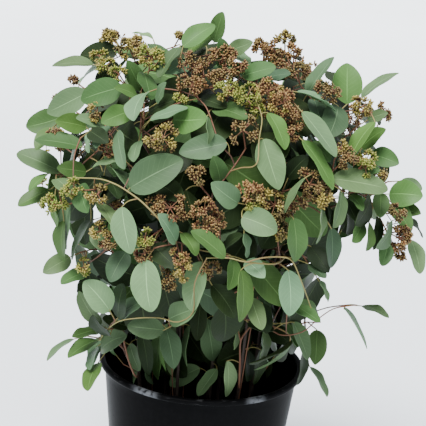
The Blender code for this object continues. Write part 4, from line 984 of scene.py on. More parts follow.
def fill_leaf(middle, way, lengths):
    """A leaf of the sides or inside, hanging at random."""
    length = draw.uniform(*lengths)
    hang = Vector((draw.uniform(-1, 1), draw.uniform(-1, 1), draw.uniform(-1.2, 0.4)))
    turned = Vector((draw.uniform(-0.6, 0.6), draw.uniform(-0.6, 0.6), draw.uniform(-0.2, 0.8)))
    axis = ((hang - way * hang.dot(way)).normalized() + way * 0.3).normalized()
    base = middle - axis * length * 0.5
    width = length * draw.uniform(0.60, 0.76)
    return Leaf(base, base + axis * length, width, way + turned, None, PLAIN_RIM_PLACES)


def fills(leaf):
    """Whether a leaf lies within the outline as seen from the front."""
    spots = [blade_point(leaf, along, across) for along in (0.4, 0.8) for across in (-1, 1)]
    return all(within_outline(spot) for spot in spots + [leaf.base, leaf.tip])


for count, layer in FILL_LAYERS:
    for index in range(count):
        way = spread_way(index, count)
        if way.z < -0.8 or (layer > 0.9 and way.y < -0.12):
            continue
        lengths = (0.060, 0.082) if layer > 0.9 else (0.070, 0.088)
        middle = dome_point(way, layer * draw.uniform(0.94, 1.02))
        leaf = fill_leaf(middle, way, lengths)
        if fills(leaf):
            settle(leaf, way, SHIFTS + (-30,), items)

for index in range(LOW_LEAVES):
    way = flat_way(index * GOLDEN_TURN)
    if way.y < -0.15:
        continue
    middle = way * draw.uniform(0.075, 0.125) + Vector((0, 0, draw.uniform(0.33, 0.42)))
    leaf = fill_leaf(middle, way, (0.060, 0.080))
    if fills(leaf):
        settle(leaf, way, (0, -8, 8, -16, -24, 16), items)

for index in range(FILL_HEADS):
    way = spread_way(index + 0.37, FILL_HEADS)
    middle = dome_point(way, draw.uniform(0.9, 1.02))
    reach = draw.uniform(0.011, 0.014)
    if way.z < -0.7 or way.y < -0.12 or not within_outline(middle):
        continue
    head = Head(middle, reach, raised(way, 0.4), None)
    head.spread = reach * 1.3
    settle(head, way, SHIFTS, items)


# The stalks: always the cheapest one next, so that leaves close to each other share a twig
STRAIGHT_STALK = 0.022


def stalk_paths(item, host):
    """Ways to reach an item from a point of the wood: a twig, which may be none, and a stalk."""
    start = wood.points[host] - wood.ways[host] * ROOT_SUNK
    anchor = item.anchor()
    gap = anchor - start
    ahead = (gap.normalized() * 0.9 + wood.ways[host] * 0.25).normalized()
    arrive = (gap.normalized() * 0.6 - item.back() * 0.8).normalized()
    if gap.length < LONGEST_STALK:
        straight = gap.length < STRAIGHT_STALK and gap.dot(item.back()) < -0.5 * gap.length
        return [], bent(start, ahead, anchor, arrive, 2 if straight else 3)
    node = anchor - arrive * 0.014 - gap.normalized() * 0.004
    steps = 3 if gap.length < 0.08 else 4
    twig = bent(start, ahead, node, (arrive + gap.normalized()).normalized(), steps)
    return twig, [twig[-1] - (twig[-1] - twig[-2]).normalized() * ROOT_SUNK, anchor]


def try_host(item, host):
    """Joins an item to a point of the wood, if nothing is in the way."""
    stem = wood.stems[host]
    twig, stalk = stalk_paths(item, host)
    passed = (("wood", stem), item)
    parts = []
    if twig:
        thick = min(TWIG_RADIUS, wood.radii[host] * 0.92)
        radii = [thick + (0.001 - thick) * k / (len(twig) - 1) for k in range(len(twig))]
        radii[0] = wood.radii[host] * 0.4
        parts.append((twig, radii))
    parts.append((stalk, [STALK_RADIUS] * len(stalk)))
    for points, radii in parts:
        corners, faces = tube(points, [radius + ROOM for radius in radii], 3)
        if room.crossed(corners, faces, passed):
            return False
    run = wood.runs[host]
    for points, radii in parts:
        room.add(*tube(points, radii, 3), ("wood", stem))
    if twig:
        branches[stem].append((twig, parts[0][1], TWIG_AGE))
        wood.add(twig, parts[0][1], stem, run, BARE_RUN)
    item.path = stalk
    wood.used[host] += 1
    carried[stem].append(item)
    return True


def connect(pending):
    """Joins each item to the wood, cheapest first; one that nothing can reach is left out."""
    known = 0
    prices = [np.zeros(0) for _ in pending]
    pending = list(pending)
    while pending:
        fresh = np.array([list(point) for point in wood.points[known:]])
        if len(fresh):
            ways = np.array([list(way) for way in wood.ways[known:]])
            runs = np.array(wood.runs[known:])
            for index, item in enumerate(pending):
                price = cost(item.anchor(), item.back(), fresh, ways, runs)
                prices[index] = np.concatenate([prices[index], price])
            known = len(wood.points)
        best = min(range(len(pending)), key=lambda index: prices[index].min())
        item = pending.pop(best)
        price = prices.pop(best)
        load = np.array([len(carried[stem]) for stem in wood.stems])
        price = price + USED_COST * np.array(wood.used) + LOAD_COST * load
        order = np.argsort(price, kind="stable")
        chosen = list(order[:8]) + list(order[8:8 + TRIES * 5:5])
        any(try_host(item, int(host)) for host in chosen)


connect(items)


# Inner leaves and heads: the leaves deep inside the dome and in the bucket's mouth, and further
# heads of nuts, too many for the CAD; each grows from the same wood, on a stalk of its own.
INNER_LAYERS = ((130, 0.88), (110, 0.68), (80, 0.48), (50, 0.28))
MOUTH_LEAVES = 60
HANGING_LEAVES = 120
SKIRT_LEAVES = 220
MOUTH_TWIGS = 110
SHOOT_POINTS = 7
SHOOT_RADIUS = 0.0012
SHOOT_TAPER = 0.0006
GAP_LOW = (64, 232)
GAP_HIGH = (108, 282)
EXTRA_HEADS = 60
EXTRA_HEAD = 0.011
SMALL_HEAD = 0.009


def mouth_leaf(index):
    """A leaf among the stems in the bucket's mouth."""
    way = flat_way(index * GOLDEN_TURN, 0.2)
    place = way * draw.uniform(0.02, 0.115)
    middle = Vector((place.x, place.y, draw.uniform(0.285, 0.44)))
    return fill_leaf(middle, way, (0.050, 0.075))


def hanging_leaf(index):
    """A narrow leaf that hangs tip down between the stems over the bucket's mouth."""
    way = flat_way(index * GOLDEN_TURN, 0.1)
    place = way * 0.128 * math.sqrt((index + 0.5) / HANGING_LEAVES)
    middle = Vector((place.x, place.y, draw.uniform(0.300, 0.450)))
    hang = Vector((draw.uniform(-0.35, 0.35), draw.uniform(-0.35, 0.35), -1)).normalized()
    length = draw.uniform(0.045, 0.070)
    turned = Vector((draw.uniform(-1, 1), draw.uniform(-1, 1), 0.3))
    base = middle - hang * length * 0.5
    width = length * draw.uniform(0.30, 0.60)
    return Leaf(base, base + hang * length, width, way + turned, None, PLAIN_RIM_PLACES)


def in_gap(leaf):
    """Whether a leaf would hide the open gap that shows between the leaves at the left."""
    across, down = seen_at(leaf.base.lerp(leaf.tip, 0.5))
    return GAP_LOW[0] < across < GAP_HIGH[0] and GAP_LOW[1] < down < GAP_HIGH[1]


# Further heads that show at the front, read off like those of the plan
MORE_NUTS = [FrontNuts(*row) for row in (
    ((204, 76), 11, "red", 8), ((222, 79), 9, "brown", 8), ((228, 52), 8, "red", 12),
    ((293, 118), 10, "red", 10), ((272, 106), 9, "orange", 12), ((255, 110), 8, "lime", 12),
    ((197, 175), 8, "brown", 12), ((155, 205), 8, "red", 14), ((184, 212), 8, "red", 16),
    ((216, 222), 8, "red", 18), ((262, 198), 8, "gold", 12), ((285, 208), 8, "brown", 12),
    ((180, 258), 7, "orange", 14), ((210, 270), 9, "brown", 22), ((167, 280), 8, "brown", 20),
    ((272, 220), 7, "olive", 16), ((106, 148), 6, "red", 14), ((340, 148), 7, "gold", 10),
    ((137, 41), 7, "gold", 2), ((121, 42), 8, "gold", 8), ((140, 50), 8, "gold", 10),
    ((159, 60), 8, "lime", 8), ((264, 51), 8, "red", 8), ((281, 68), 8, "red", 8),
    ((366, 167), 8, "lime", 2), ((396, 213), 7, "brown", 4), ((405, 229), 7, "red", 6),
    ((157, 44), 6, "lime", 8), ((100, 56), 6, "lime", 8), ((260, 44), 6, "red", 6),
)]

# Further leaves that show between the plan's, read off in the same way
MORE_LEAVES = [FrontLeaf(*row) for row in (
    ((188, 51), (214, 38), 11, "bright", 8), ((314, 100), (321, 126), 18, "blue", 28),
    ((352, 170), (380, 171), 15, "mid", 20), ((390, 204), (411, 232), 17, "mid", 16),
    ((296, 306), (320, 322), 12, "mid", 12), ((128, 327), (102, 318), 14, "dark", 16),
    ((150, 44), (166, 62), 12, "mid", 20), ((116, 50), (138, 60), 12, "mid", 20),
    ((70, 205), (66, 250), 13, "pale", 8), ((52, 128), (36, 150), 14, "mid", 12),
    ((205, 44), (188, 40), 8, "mid", 14), ((90, 131), (108, 143), 17, "dark", 24),
    ((106, 126), (96, 148), 13, "blue", 34), ((262, 303), (266, 334), 16, "dark", 30),
    ((248, 322), (274, 331), 13, "dark", 38), ((288, 324), (298, 348), 12, "mid", 12),
    ((109, 336), (93, 315), 11, "dark", 12), ((101, 336), (93, 365), 13, "sage", 14),
)]

inner_items = []
for reading in MORE_LEAVES:
    settle(front_leaf(reading), sight(reading.base), DEPTHS, inner_items)
for reading in MORE_NUTS:
    settle(front_head(reading, SMALL_HEAD), sight(reading.middle), DEPTHS, inner_items)
# the inner, mouth, hanging and skirt leaves below mostly take the near-black inner tint: painted shade
for count, layer in INNER_LAYERS:
    for index in range(count):
        way = spread_way(index + 0.5, count)
        if way.z < -0.75:
            continue
        leaf = fill_leaf(dome_point(way, layer * draw.uniform(0.93, 1.04)), way, (0.058, 0.084))
        leaf.tone = "inner"
        if fills(leaf) and not in_gap(leaf):
            settle(leaf, way, SHIFTS + (20,), inner_items)
for index in range(MOUTH_LEAVES):
    leaf = mouth_leaf(index)
    leaf.tone = "inner"
    if fills(leaf):
        settle(leaf, leaf.face, SHIFTS[:5], inner_items)
for index in range(HANGING_LEAVES):
    leaf = hanging_leaf(index)
    leaf.tone = "inner" if index % 3 else "blue"
    if fills(leaf) and not in_gap(leaf):
        settle(leaf, leaf.face, (0, -5, 5, -10, 10), inner_items)
for index in range(SKIRT_LEAVES):
    way = flat_way(index * GOLDEN_TURN)
    if way.y < -0.5:
        continue
    middle = way * draw.uniform(0.095, 0.150) + Vector((0, 0, draw.uniform(0.33, 0.44)))
    leaf = fill_leaf(middle, way, (0.036, 0.066))
    leaf.tone = "inner" if index % 2 else "mid"
    if fills(leaf) and not in_gap(leaf):
        settle(leaf, way, SHIFTS, inner_items)
for index in range(EXTRA_HEADS):
    way = spread_way(index + 0.21, EXTRA_HEADS)
    middle = dome_point(way, draw.uniform(0.80, 0.97))
    if way.z < -0.6 or way.y < 0.1 or not within_outline(middle):
        continue
    head = Head(middle, EXTRA_HEAD, raised(way, 0.4), None)
    head.spread = draw.uniform(0.016, 0.022)
    settle(head, way, SHIFTS, inner_items)
connect(inner_items)


def mouth_twig(stem):
    """A thin shoot that leaves its stem inside the bucket and rises into the dome."""
    main = branches[stem][0][0]
    start = main[1].lerp(main[2], draw.uniform(0.2, 1.0))
    rising = (main[3] - main[2]).normalized()
    away = Vector((draw.uniform(-1, 1), draw.uniform(-1, 1), 0.0))
    end = main[4].lerp(main[6], draw.uniform(0.0, 1.0)) + away * 0.035
    leaving = (rising + away * 0.25).normalized()
    return bent(start, leaving, end, (rising + away * 0.3).normalized(), SHOOT_POINTS)


for index in range(MOUTH_TWIGS):
    stem = index % STEMS
    path = mouth_twig(stem)
    radii = [SHOOT_RADIUS - SHOOT_TAPER * k / 6 for k in range(SHOOT_POINTS)]
    corners, faces = tube(path[1:], radii[1:], 3)
    if not room.crossed(corners, faces, ()):
        room.add(corners, faces, ("wood", stem))
        branches[stem].append((path, radii, draw.uniform(0.35, 0.75)))


# What each head holds: branchlets that each end in a tuft of small rings of buds, so that the whole
# fills the head's ball unevenly, as on the plant
BUD_LENGTH = 0.0073
FULL_HEAD = 1.28
TUFT_ROOM = 0.0026
FEWEST_TUFTS = 3
MOST_TUFTS = 10
DRAWN_IN = 0.45
head_draw = random.Random(31)
Umbel = namedtuple("Umbel", "middle buds")
Tuft = namedtuple("Tuft", "knot umbels")


def jitter(size):
    return Vector([head_draw.uniform(-size, size) for _ in range(3)])


def umbel(middle, way, count):
    """One ring of buds round a middle one: where its branchlet ends and its buds' directions."""
    first, second = sideways(way)
    buds = []
    for index in range(count):
        turn = 2 * math.pi * (index + head_draw.uniform(-0.25, 0.25)) / max(count - 1, 1)
        open_by = 0.15 if index == count - 1 else head_draw.uniform(0.65, 1.25)
        buds.append(around(way, around(first, second, turn), open_by).normalized())
    return Umbel(middle, buds)


def head_tufts(head):
    """The tufts of one head, spread round its middle and looking away from it."""
    spread = head.spread * FULL_HEAD
    count = max(FEWEST_TUFTS, min(MOST_TUFTS, round(spread / TUFT_ROOM)))
    first, second = sideways(head.way)
    tufts = []
    for index in range(count):
        height = 1 - 1.6 * (index + 0.5) / count
        flat = around(first, second, index * GOLDEN_TURN + head.turn)
        way = head.way * height + flat * math.sqrt(1 - height * height)
        way = (way + jitter(0.3)).normalized()
        knot = head.middle + way * spread * head_draw.uniform(0.34, 0.62)
        umbels = []
        for _ in range(head_draw.choice((3, 4, 4, 5))):
            turned = (way + jitter(0.9)).normalized()
            middle = knot + turned * spread * head_draw.uniform(0.10, 0.36)
            if not within_outline(middle + turned * BUD_LENGTH):
                middle = head.middle.lerp(middle, DRAWN_IN)
            umbels.append(umbel(middle, turned, head_draw.choice((5, 6, 7, 7))))
        tufts.append(Tuft(knot, umbels))
    return tufts


for stem in range(STEMS):
    for item in carried[stem]:
        if isinstance(item, Head):
            item.tufts = head_tufts(item)


# Stems, twigs and stalks: cut straight at the foot, brown-barked below and red-brown to yellow-green
# where they are young. Every path of the plan runs as a smooth curve, and one Geometry Nodes group
# turns the curves of a stem into round wood with its thickness along them.
bark = Finish("twig_bark")
young = bark.attribute("young")
grain = bark.noise(260.0, 4.0, (1.0, 1.0, 0.12))
warts = bark.noise(420.0, 2.0).rise(0.62, 0.72)
old_bark = grain.mix((0.020, 0.013, 0.011), (0.065, 0.046, 0.036))
twig_skin = bark.noise(35.0, 2.0).mix((0.095, 0.032, 0.020), (0.170, 0.080, 0.040))
green_skin = bark.noise(50.0, 2.0).mix((0.200, 0.170, 0.055), (0.150, 0.140, 0.045))
colour = young.rise(0.15, 0.45).mix(old_bark, twig_skin)
colour = young.rise(0.55, 0.88).mix(colour, green_skin)
colour = (warts * 0.30).mix(colour, (0.16, 0.12, 0.08))
twig_bark = bark.finish(
    {"Base Color": colour, "Roughness": 0.5 + grain * 0.2},
    {"Specular IOR Level": 0.25},
    grain + warts * 0.6, 0.0004, 0.6,
)


class Tree:
    """A Geometry Nodes group under construction, with its named inputs."""

    def __init__(self, name, inputs):
        self.group = bpy.data.node_groups.new(name, "GeometryNodeTree")
        face = self.group.interface
        face.new_socket("Geometry", in_out="INPUT", socket_type="NodeSocketGeometry")
        for label, kind in inputs.items():
            face.new_socket(label, in_out="INPUT", socket_type="NodeSocket" + kind)
        face.new_socket("Geometry", in_out="OUTPUT", socket_type="NodeSocketGeometry")
        self.start = self.group.nodes.new("NodeGroupInput").outputs

    def node(self, kind, settings, inputs, output=0):
        """Adds one node with its settings and sockets, and returns one of its outputs."""
        made = self.group.nodes.new(kind)
        for name, value in settings.items():
            setattr(made, name, value)
        for name, value in inputs.items():
            if isinstance(value, bpy.types.NodeSocket):
                self.group.links.new(value, made.inputs[name])
            else:
                made.inputs[name].default_value = value
        return made.outputs[output] if len(made.outputs) else None

    def named(self, name, kind):
        return self.node("GeometryNodeInputNamedAttribute", {"data_type": kind}, {"Name": name})

    def painted(self, geometry):
        """Ends the group: everything made real and given its material."""
        real = self.node("GeometryNodeRealizeInstances", {}, {"Geometry": geometry})
        skin = {"Geometry": real, "Material": self.start["Skin"]}
        painted = self.node("GeometryNodeSetMaterial", {}, skin)
        self.node("NodeGroupOutput", {}, {"Geometry": painted})
        return self.group


def round_wood():
    """Smooth round wood along the edges between the points."""
    tree = Tree("round_wood", {"Sides": "Int", "Fineness": "Int", "Skin": "Material"})
    lines = tree.node("GeometryNodeMeshToCurve", {}, {"Mesh": tree.start["Geometry"]})
    smooth = tree.node("GeometryNodeCurveSplineType", {"spline_type": "CATMULL_ROM"}, {"Curve": lines})
    fineness = {"Geometry": smooth, "Resolution": tree.start["Fineness"]}
    fine = tree.node("GeometryNodeSetSplineResolution", {}, fineness)
    circle = {"Resolution": tree.start["Sides"], "Radius": 1.0}
    ring = tree.node("GeometryNodeCurvePrimitiveCircle", {}, circle)
    sweep = {"Curve": fine, "Profile Curve": ring, "Fill Caps": True}
    sweep["Scale"] = tree.named("thick", "FLOAT")
    swept = tree.node("GeometryNodeCurveToMesh", {}, sweep)
    return tree.painted(tree.node("GeometryNodeSetShadeSmooth", {}, {"Geometry": swept}))


FIELDS = {1: ("FLOAT", "value"), 3: ("FLOAT_VECTOR", "vector"), 4: ("FLOAT_COLOR", "color")}


def point_values(mesh, values):
    """Stores values at a mesh's points: a number, a direction or a colour at each."""
    for name, numbers in values.items():
        wide = len(numbers[0]) if isinstance(numbers[0], (tuple, list)) else 1
        kind, field = FIELDS[wide]
        layer = mesh.attributes.new(name, kind, "POINT")
        layer.data.foreach_set(field, np.array(numbers, dtype=np.float32).ravel())


def grown(name, points, edges, values, group, settings, node):
    """Runs a Geometry Nodes group over points with named values and keeps the plain result."""
    mesh = bpy.data.meshes.new(name + "_plan")
    mesh.from_pydata([tuple(point) for point in points], edges, [])
    point_values(mesh, values)
    piece = bpy.data.objects.new(name, mesh)
    bpy.context.scene.collection.objects.link(piece)
    modifier = piece.modifiers.new("grow", "NODES")
    modifier.node_group = group
    for socket in group.interface.items_tree:
        if socket.name in settings:
            modifier[socket.identifier] = settings[socket.name]
    bpy.context.view_layer.update()
    shaped = piece.evaluated_get(bpy.context.evaluated_depsgraph_get())
    result = bpy.data.meshes.new_from_object(shaped)
    piece.modifiers.clear()
    piece.data = result
    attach(piece, "root")
    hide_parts(node)


def item_paths(item):
    """The thin paths that a leaf or a head adds, each with its thickness and age along it."""
    path = list(item.path)
    if isinstance(item, Leaf):
        path.append(item.base + item.axis * item.length * 0.05)
        radii = [0.0009] + [0.0007] * (len(path) - 2) + [0.0004]
        return [(path, radii, [0.60] + [0.92] * (len(path) - 1))]
    paths = [(path, [0.0010] * len(path), [0.5] * len(path))]
    root = item.middle - item.way * 0.0008
    for tuft in item.tufts:
        paths.append(([root, tuft.knot], [0.0008, 0.0006], [0.5, 0.65]))
        paths.extend(([tuft.knot, ring.middle], [0.0006, 0.0005], [0.65, 0.75]) for ring in tuft.umbels)
    return paths


THINNEST_TWIG = 0.0008


def wood_plan(number):
    """All paths of one stem: its points, the edges between them, and thickness and age at each."""
    paths = []
    for index, (path, radii, age) in enumerate(branches[number]):
        count = len(path)
        ages = [max(0.25, age - 0.15) + 0.2 * k / (count - 1) for k in range(count)]
        if index == 0:
            ages = [max(0.0, (k - 4) / 4) * 0.30 for k in range(count)]
        paths.append((path, [max(radius, THINNEST_TWIG) for radius in radii], ages))
    for item in carried[number]:
        paths.extend(item_paths(item))
    points, edges, thick, ages_all = [], [], [], []
    for path, radii, ages in paths:
        first = len(points)
        points.extend(path)
        thick.extend(radii)
        ages_all.extend(ages)
        edges.extend((first + k, first + k + 1) for k in range(len(path) - 1))
    return points, edges, {"thick": thick, "young": ages_all}


NUMBERS = [str(number + 1).zfill(2) for number in range(STEMS)]
NODE_NAMES = ["gum_nut_stem_" + number for number in NUMBERS]
wood_group = round_wood()
wood_settings = {"Sides": 6, "Fineness": 4, "Skin": twig_bark}
for number in range(STEMS):
    points, edges, values = wood_plan(number)
    name = "wood_" + NUMBERS[number]
    grown(name, points, edges, values, wood_group, wood_settings, NODE_NAMES[number])


# Leaves: round to oval blades of matt grey-green with a waxy bloom, a fine pale midrib, side veins
# and a paler underside. Each is a thin closed sheet over the plan's base, tip and width, with its
# own camber, fold and waved edge, and its own tint. The near-black tints of leaves in shadow and
# deep inside are painted shade, and one lighter tint is painted light on a leaf in shade.
LEAF_TINTS = {
    "sage": (0.064, 0.112, 0.050),
    "pale": (0.100, 0.176, 0.084),
    # a lighter tint for a leaf in the mouth that lies in shade: painted light
    "frost": (0.170, 0.270, 0.135),
    "mid": (0.038, 0.083, 0.024),
    "bright": (0.049, 0.107, 0.025),
    "blue": (0.036, 0.067, 0.033),
    # near-black tints for leaves in shadow and deep inside the dome: painted shade
    "dark": (0.008, 0.016, 0.006),
    "inner": (0.006, 0.013, 0.003),
}
# the darker tones among these, dark above all, stand for leaves in shade: painted shade
FILL_TONES = ("sage", "sage", "sage", "mid", "mid", "pale", "blue", "bright", "dark")
DEEP_TONES = ("blue", "dark", "mid", "inner")
FINE_BLADE = (14, 8)
INNER_BLADE = (9, 6)
BLADE_THICKNESS = 0.0005
RIB_THICKNESS = 0.00022
EDGE_WAVES = 9.0
OTHER_EDGE = 1.7
PALER = 2.0
WAX = (0.030, 0.040, 0.018, 0.0)
leaf_draw = random.Random(23)

green = Finish("leaf_green")
tint = green.attribute("tint", "Color")
light = green.attribute("light", "Color")
along = green.attribute("along")
across = green.attribute("across")
upper = green.attribute("upper")
off_middle = abs(across)
midrib = off_middle.rise(0.050, 0.014) * along.rise(1.0, 0.70)
side_veins = (along * 62.0 - off_middle * 15.0).wave().rise(0.90, 1.0)
side_veins = side_veins * off_middle.rise(0.95, 0.7)
edge_vein = abs(off_middle - 0.86).rise(0.03, 0.008)
veins = (side_veins * 0.22 + edge_vein * 0.14) * along.rise(0.0, 0.08)
bloom = green.noise(38.0, 4.0).rise(0.35, 0.75)
specks = green.noise(620.0, 2.0).rise(0.66, 0.80)
blotches = green.noise(9.0, 2.0).rise(0.3, 0.7)
colour = (bloom * 0.14).mix(tint, light)
colour = (blotches * 0.12).mix(colour, (0.030, 0.055, 0.008))
colour = (veins * 0.60).mix(colour, light)
colour = (0.40 - upper * 0.40).mix(colour, light)
colour = (midrib * 0.65).mix(colour, light)
colour = (specks * 0.25).mix(colour, (0.05, 0.03, 0.012))
colour = (off_middle.rise(0.955, 1.0) * along.rise(0.0, 0.1) * 0.30).mix(colour, light)
leaf_green = green.finish(
    {"Base Color": colour, "Roughness": 0.44 + bloom * 0.16},
    {"Specular IOR Level": 0.10},
    veins * 0.7 + midrib - bloom * 0.1, 0.0004, 0.7,
)


def blade_sheet(item, grid):
    """Corners, faces and point values of one blade."""
    rows, columns = grid
    width = columns + 1
    waves = leaf_draw.uniform(0.0006, 0.0020)
    phase = leaf_draw.uniform(0, 2 * math.pi)
    bend = leaf_draw.uniform(-0.035, 0.035)
    foot = leaf_draw.uniform(0.50, 0.66)
    tip = leaf_draw.uniform(0.54, 0.76)
    corners = []
    values = {"along": [], "across": [], "upper": []}
    for side_up in (1, -1):
        for row in range(rows + 1):
            share = 0.004 + 0.994 * (0.5 - 0.5 * math.cos(math.pi * row / rows))
            half = item.width / 2 * half_width(share, foot, tip)
            swerve = bend * math.sin(math.pi * share) * item.length
            arch = item.camber * 4 * share * (1 - share) * item.length
            for column in range(width):
                v = 2 * column / columns - 1
                edge = abs(v) ** 2.2 * math.sin(math.pi * share)
                lift = arch + item.fold * abs(v) ** 1.3 * half
                turn = phase + share * EDGE_WAVES + (OTHER_EDGE if v > 0 else 0)
                lift += edge * waves * math.sin(turn)
                point = item.base + item.axis * share * item.length
                point = point + item.side * (v * half + swerve) + item.face * lift
                thickness = BLADE_THICKNESS / 2 + RIB_THICKNESS * max(0, 1 - abs(v) * 6)
                corners.append(point + item.face * thickness * side_up)
                values["along"].append(share)
                values["across"].append(v)
                values["upper"].append(1.0 if side_up > 0 else 0.0)
    faces = []
    under = (rows + 1) * width
    for row in range(rows):
        for column in range(columns):
            a = row * width + column
            b = under + a
            faces.append((a, a + 1, a + 1 + width, a + width))
            faces.append((b, b + width, b + width + 1, b + 1))
    border = list(range(width))
    border += [row * width + columns for row in range(1, rows + 1)]
    border += [rows * width + column for column in range(columns - 1, -1, -1)]
    border += [row * width for row in range(rows - 1, 0, -1)]
    for first, second in zip(border, border[1:] + border[:1]):
        faces.append((second, first, under + first, under + second))
    return corners, faces, values


def leaf_tints(tone):
    """A leaf's own green, and the paler one of its veins, bloom and underside."""
    base = LEAF_TINTS[tone]
    light = leaf_draw.uniform(0.78, 1.18)
    warm = leaf_draw.uniform(-0.08, 0.08)
    cold = 1 - warm * 1.5
    tint = (base[0] * light * (1 + warm), base[1] * light, base[2] * light * cold, 1.0)
    return tint, tuple(PALER * part + more for part, more in zip(tint, WAX))


for number in range(STEMS):
    corners, faces = [], []
    values = {"along": [], "across": [], "upper": [], "tint": [], "light": []}
    for item in carried[number]:
        if not isinstance(item, Leaf):
            continue
        # fill leaves in the front half lie behind the front ones and take the darker deep tones:
        # painted shade
        tone = item.tone or leaf_draw.choice(FILL_TONES if item.base.y > 0 else DEEP_TONES)
        grid = INNER_BLADE if tone == "inner" else FINE_BLADE
        sheet, sheet_faces, sheet_values = blade_sheet(item, grid)
        offset = len(corners)
        corners += sheet
        faces += [tuple(index + offset for index in face) for face in sheet_faces]
        for name, numbers in sheet_values.items():
            values[name] += numbers
        own, paler = leaf_tints(tone)
        values["tint"] += [own] * len(sheet)
        values["light"] += [paler] * len(sheet)
    name = "leaves_" + NUMBERS[number]
    piece = mesh_piece(name, corners, faces, leaf_green, NODE_NAMES[number])
    point_values(piece.data, values)


# Gum nuts: club-shaped buds on short stalks in many small rings, from lime and gold to orange and
# dark red, with a fine line where the cap meets the cup. One shape is set on every ring's buds by a
# Geometry Nodes group, which turns and sizes each bud by its point values.
NUT_TINTS = {
    "orange": (0.165, 0.070, 0.026),
    "gold": (0.225, 0.185, 0.032),
    "lime": (0.120, 0.175, 0.016),
    "brown": (0.068, 0.036, 0.010),
    "red": (0.088, 0.029, 0.012),
    "plum": (0.060, 0.016, 0.013),
    "olive": (0.028, 0.028, 0.005),
}
NEAR_TONES = {
    "orange": ("red", "gold"),
    "gold": ("brown", "olive"),
    "lime": ("lime", "gold"),
    "brown": ("olive", "red"),
    "red": ("brown", "orange"),
    "plum": ("plum", "red"),
    "olive": ("gold", "brown"),
}
FILL_NUT_TONES = ("gold", "gold", "lime", "orange", "brown", "red")
BUD_PROFILE = (
    (0.0, 0.0), (0.36, 0.0), (0.36, 1.9), (1.10, 3.0), (1.50, 4.4), (1.25, 5.7), (0.55, 6.8),
    (0.0, 7.3),
)
BUD_SIDES = 5
nut_draw = random.Random(41)

nut = Finish("gum_nut")
length = nut.attribute("length")
mottle = nut.noise(900.0, 2.0)
line = abs(length - 0.70).rise(0.04, 0.006)
colour = (mottle * 0.30).mix(nut.attribute("tint", "Color"), (0.045, 0.020, 0.010))
colour = (length.rise(0.66, 0.80) * 0.34).mix(colour, (0.34, 0.26, 0.08))
# painted shade: each bud darkened towards its foot, where the buds of a ring crowd together
colour = (length.rise(0.50, 0.22) * 0.55).mix(colour, (0.040, 0.016, 0.008))
colour = (line * 0.5).mix(colour, (0.03, 0.014, 0.008))
nut_skin = nut.finish(
    {"Base Color": colour, "Roughness": 0.42 + mottle * 0.2},
    {"Specular IOR Level": 0.30},
    mottle - line, 0.0002, 0.5,
)


def bud_shape():
    """One bud that stands on its origin, with how far up it each point lies."""
    profile = [(radius / 1000, height / 1000) for radius, height in BUD_PROFILE]
    corners, faces = turned_body(profile, BUD_SIDES)
    mesh = bpy.data.meshes.new("bud_shape")
    mesh.from_pydata([tuple(corner) for corner in corners], [], faces)
    mesh.polygons.foreach_set("use_smooth", [True] * len(mesh.polygons))
    point_values(mesh, {"length": [corner.z / BUD_LENGTH for corner in corners]})
    return bpy.data.objects.new("bud_shape", mesh)


def set_buds():
    """A bud on every point, turned and sized by the point's values."""
    tree = Tree("set_buds", {"Bud": "Object", "Skin": "Material"})
    shape = tree.node("GeometryNodeObjectInfo", {}, {"Object": tree.start["Bud"]}, "Geometry")
    way = {"Vector": tree.named("way", "FLOAT_VECTOR")}
    turned = tree.node("FunctionNodeAlignRotationToVector", {"axis": "Z"}, way)
    places = {
        "Points": tree.start["Geometry"],
        "Instance": shape,
        "Rotation": turned,
        "Scale": tree.named("size", "FLOAT"),
    }
    return tree.painted(tree.node("GeometryNodeInstanceOnPoints", {}, places))


def nut_plan(number):
    """Where every bud of one stem stands, with its direction, size and tint."""
    points = []
    values = {"way": [], "size": [], "tint": []}
    for item in carried[number]:
        if not isinstance(item, Head):
            continue
        own = item.tone or nut_draw.choice(FILL_NUT_TONES)
        for ring in [ring for tuft in item.tufts for ring in tuft.umbels]:
            tint = NUT_TINTS[nut_draw.choice((own, own, own) + NEAR_TONES[own])]
            for way in ring.buds:
                light = nut_draw.uniform(0.6, 1.4)
                points.append(ring.middle)
                values["way"].append(tuple(way))
                values["size"].append(nut_draw.uniform(0.70, 1.0))
                values["tint"].append((tint[0] * light, tint[1] * light, tint[2] * light, 1.0))
    return points, values


bud = bud_shape()
bud_group = set_buds()
bud_settings = {"Bud": bud, "Skin": nut_skin}
for number in range(STEMS):
    points, values = nut_plan(number)
    if points:
        name = "nuts_" + NUMBERS[number]
        grown(name, points, [], values, bud_group, bud_settings, NODE_NAMES[number])
bpy.data.objects.remove(bud)
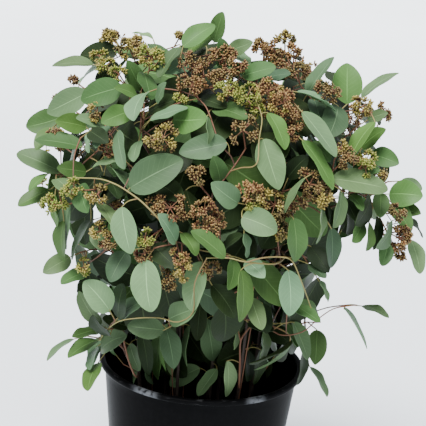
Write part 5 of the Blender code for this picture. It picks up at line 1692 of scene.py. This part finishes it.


# Setting: a wide pale floor that fills the view, painted lighter the farther back it lies as a painted
# falloff of light, one large soft light high at the front and left, and an evenly pale sky.
FLOOR_REACH = 30.0
FLOOR_STEPS = 48
SUN_POWER = 11.0
SUN_PLACE = Vector((-0.9, -1.4, 3.8))
SUN_AIM = Vector((0, 0, 0.4))
SKY_POWER = 1.1
floor_finish = Finish("pale_floor")
# painted falloff of light: the floor darker near the bucket and lighter far off, with a faint mottle
mottle_and_painted_falloff = floor_finish.noise(0.8, 2.0) * 0.2 + floor_finish.place_along(1).rise(-0.5, 7.0) * 0.8
pale_floor = floor_finish.finish(
    {"Base Color": mottle_and_painted_falloff.mix((0.58, 0.61, 0.64), (0.92, 0.97, 1.0))},
    {"Roughness": 0.9, "Specular IOR Level": 0.1},
)
corners = [(0.0, 0.0, 0.0)]
for step in range(FLOOR_STEPS):
    turn = 2 * math.pi * step / FLOOR_STEPS
    corners.append((FLOOR_REACH * math.cos(turn), FLOOR_REACH * math.sin(turn), 0.0))
faces = [(0, 1 + step, 1 + (step + 1) % FLOOR_STEPS) for step in range(FLOOR_STEPS)]
mesh = bpy.data.meshes.new("floor")
mesh.from_pydata(corners, [], faces)
mesh.materials.append(pale_floor)
floor = bpy.data.objects.new("floor", mesh)
bpy.context.scene.collection.objects.link(floor)
sun = bpy.data.lights.new("soft_sun", "SUN")
sun.energy = SUN_POWER
sun.angle = math.radians(35)
lamp = bpy.data.objects.new("soft_sun", sun)
lamp.location = SUN_PLACE
lamp.rotation_euler = (SUN_AIM - SUN_PLACE).to_track_quat("-Z", "Y").to_euler()
bpy.context.scene.collection.objects.link(lamp)
sky = bpy.data.worlds.new("pale_sky")
sky.use_nodes = True
background = sky.node_tree.nodes["Background"].inputs
background["Color"].default_value = (0.90, 0.95, 1.0, 1.0)
background["Strength"].default_value = SKY_POWER
bpy.context.scene.world = sky


# Camera: the photo's own view. It looks down on the bucket from the front, slightly rolled, from the
# place that the readings of the front were taken with.
SENSOR = 36.0
lens = bpy.data.cameras.new("photo_view")
lens.sensor_width = SENSOR
lens.lens = VIEW_FOCAL * SENSOR / (2 * VIEW_MIDDLE)
camera = bpy.data.objects.new("photo_view", lens)
axes = Matrix((
    (view_right.x, view_up.x, -view_forward.x),
    (view_right.y, view_up.y, -view_forward.y),
    (view_right.z, view_up.z, -view_forward.z),
))
axes = axes @ Matrix.Rotation(VIEW_ROLL, 3, "Z")
camera.matrix_world = Matrix.Translation(EYE) @ axes.to_4x4()
bpy.context.scene.collection.objects.link(camera)
bpy.context.scene.camera = camera
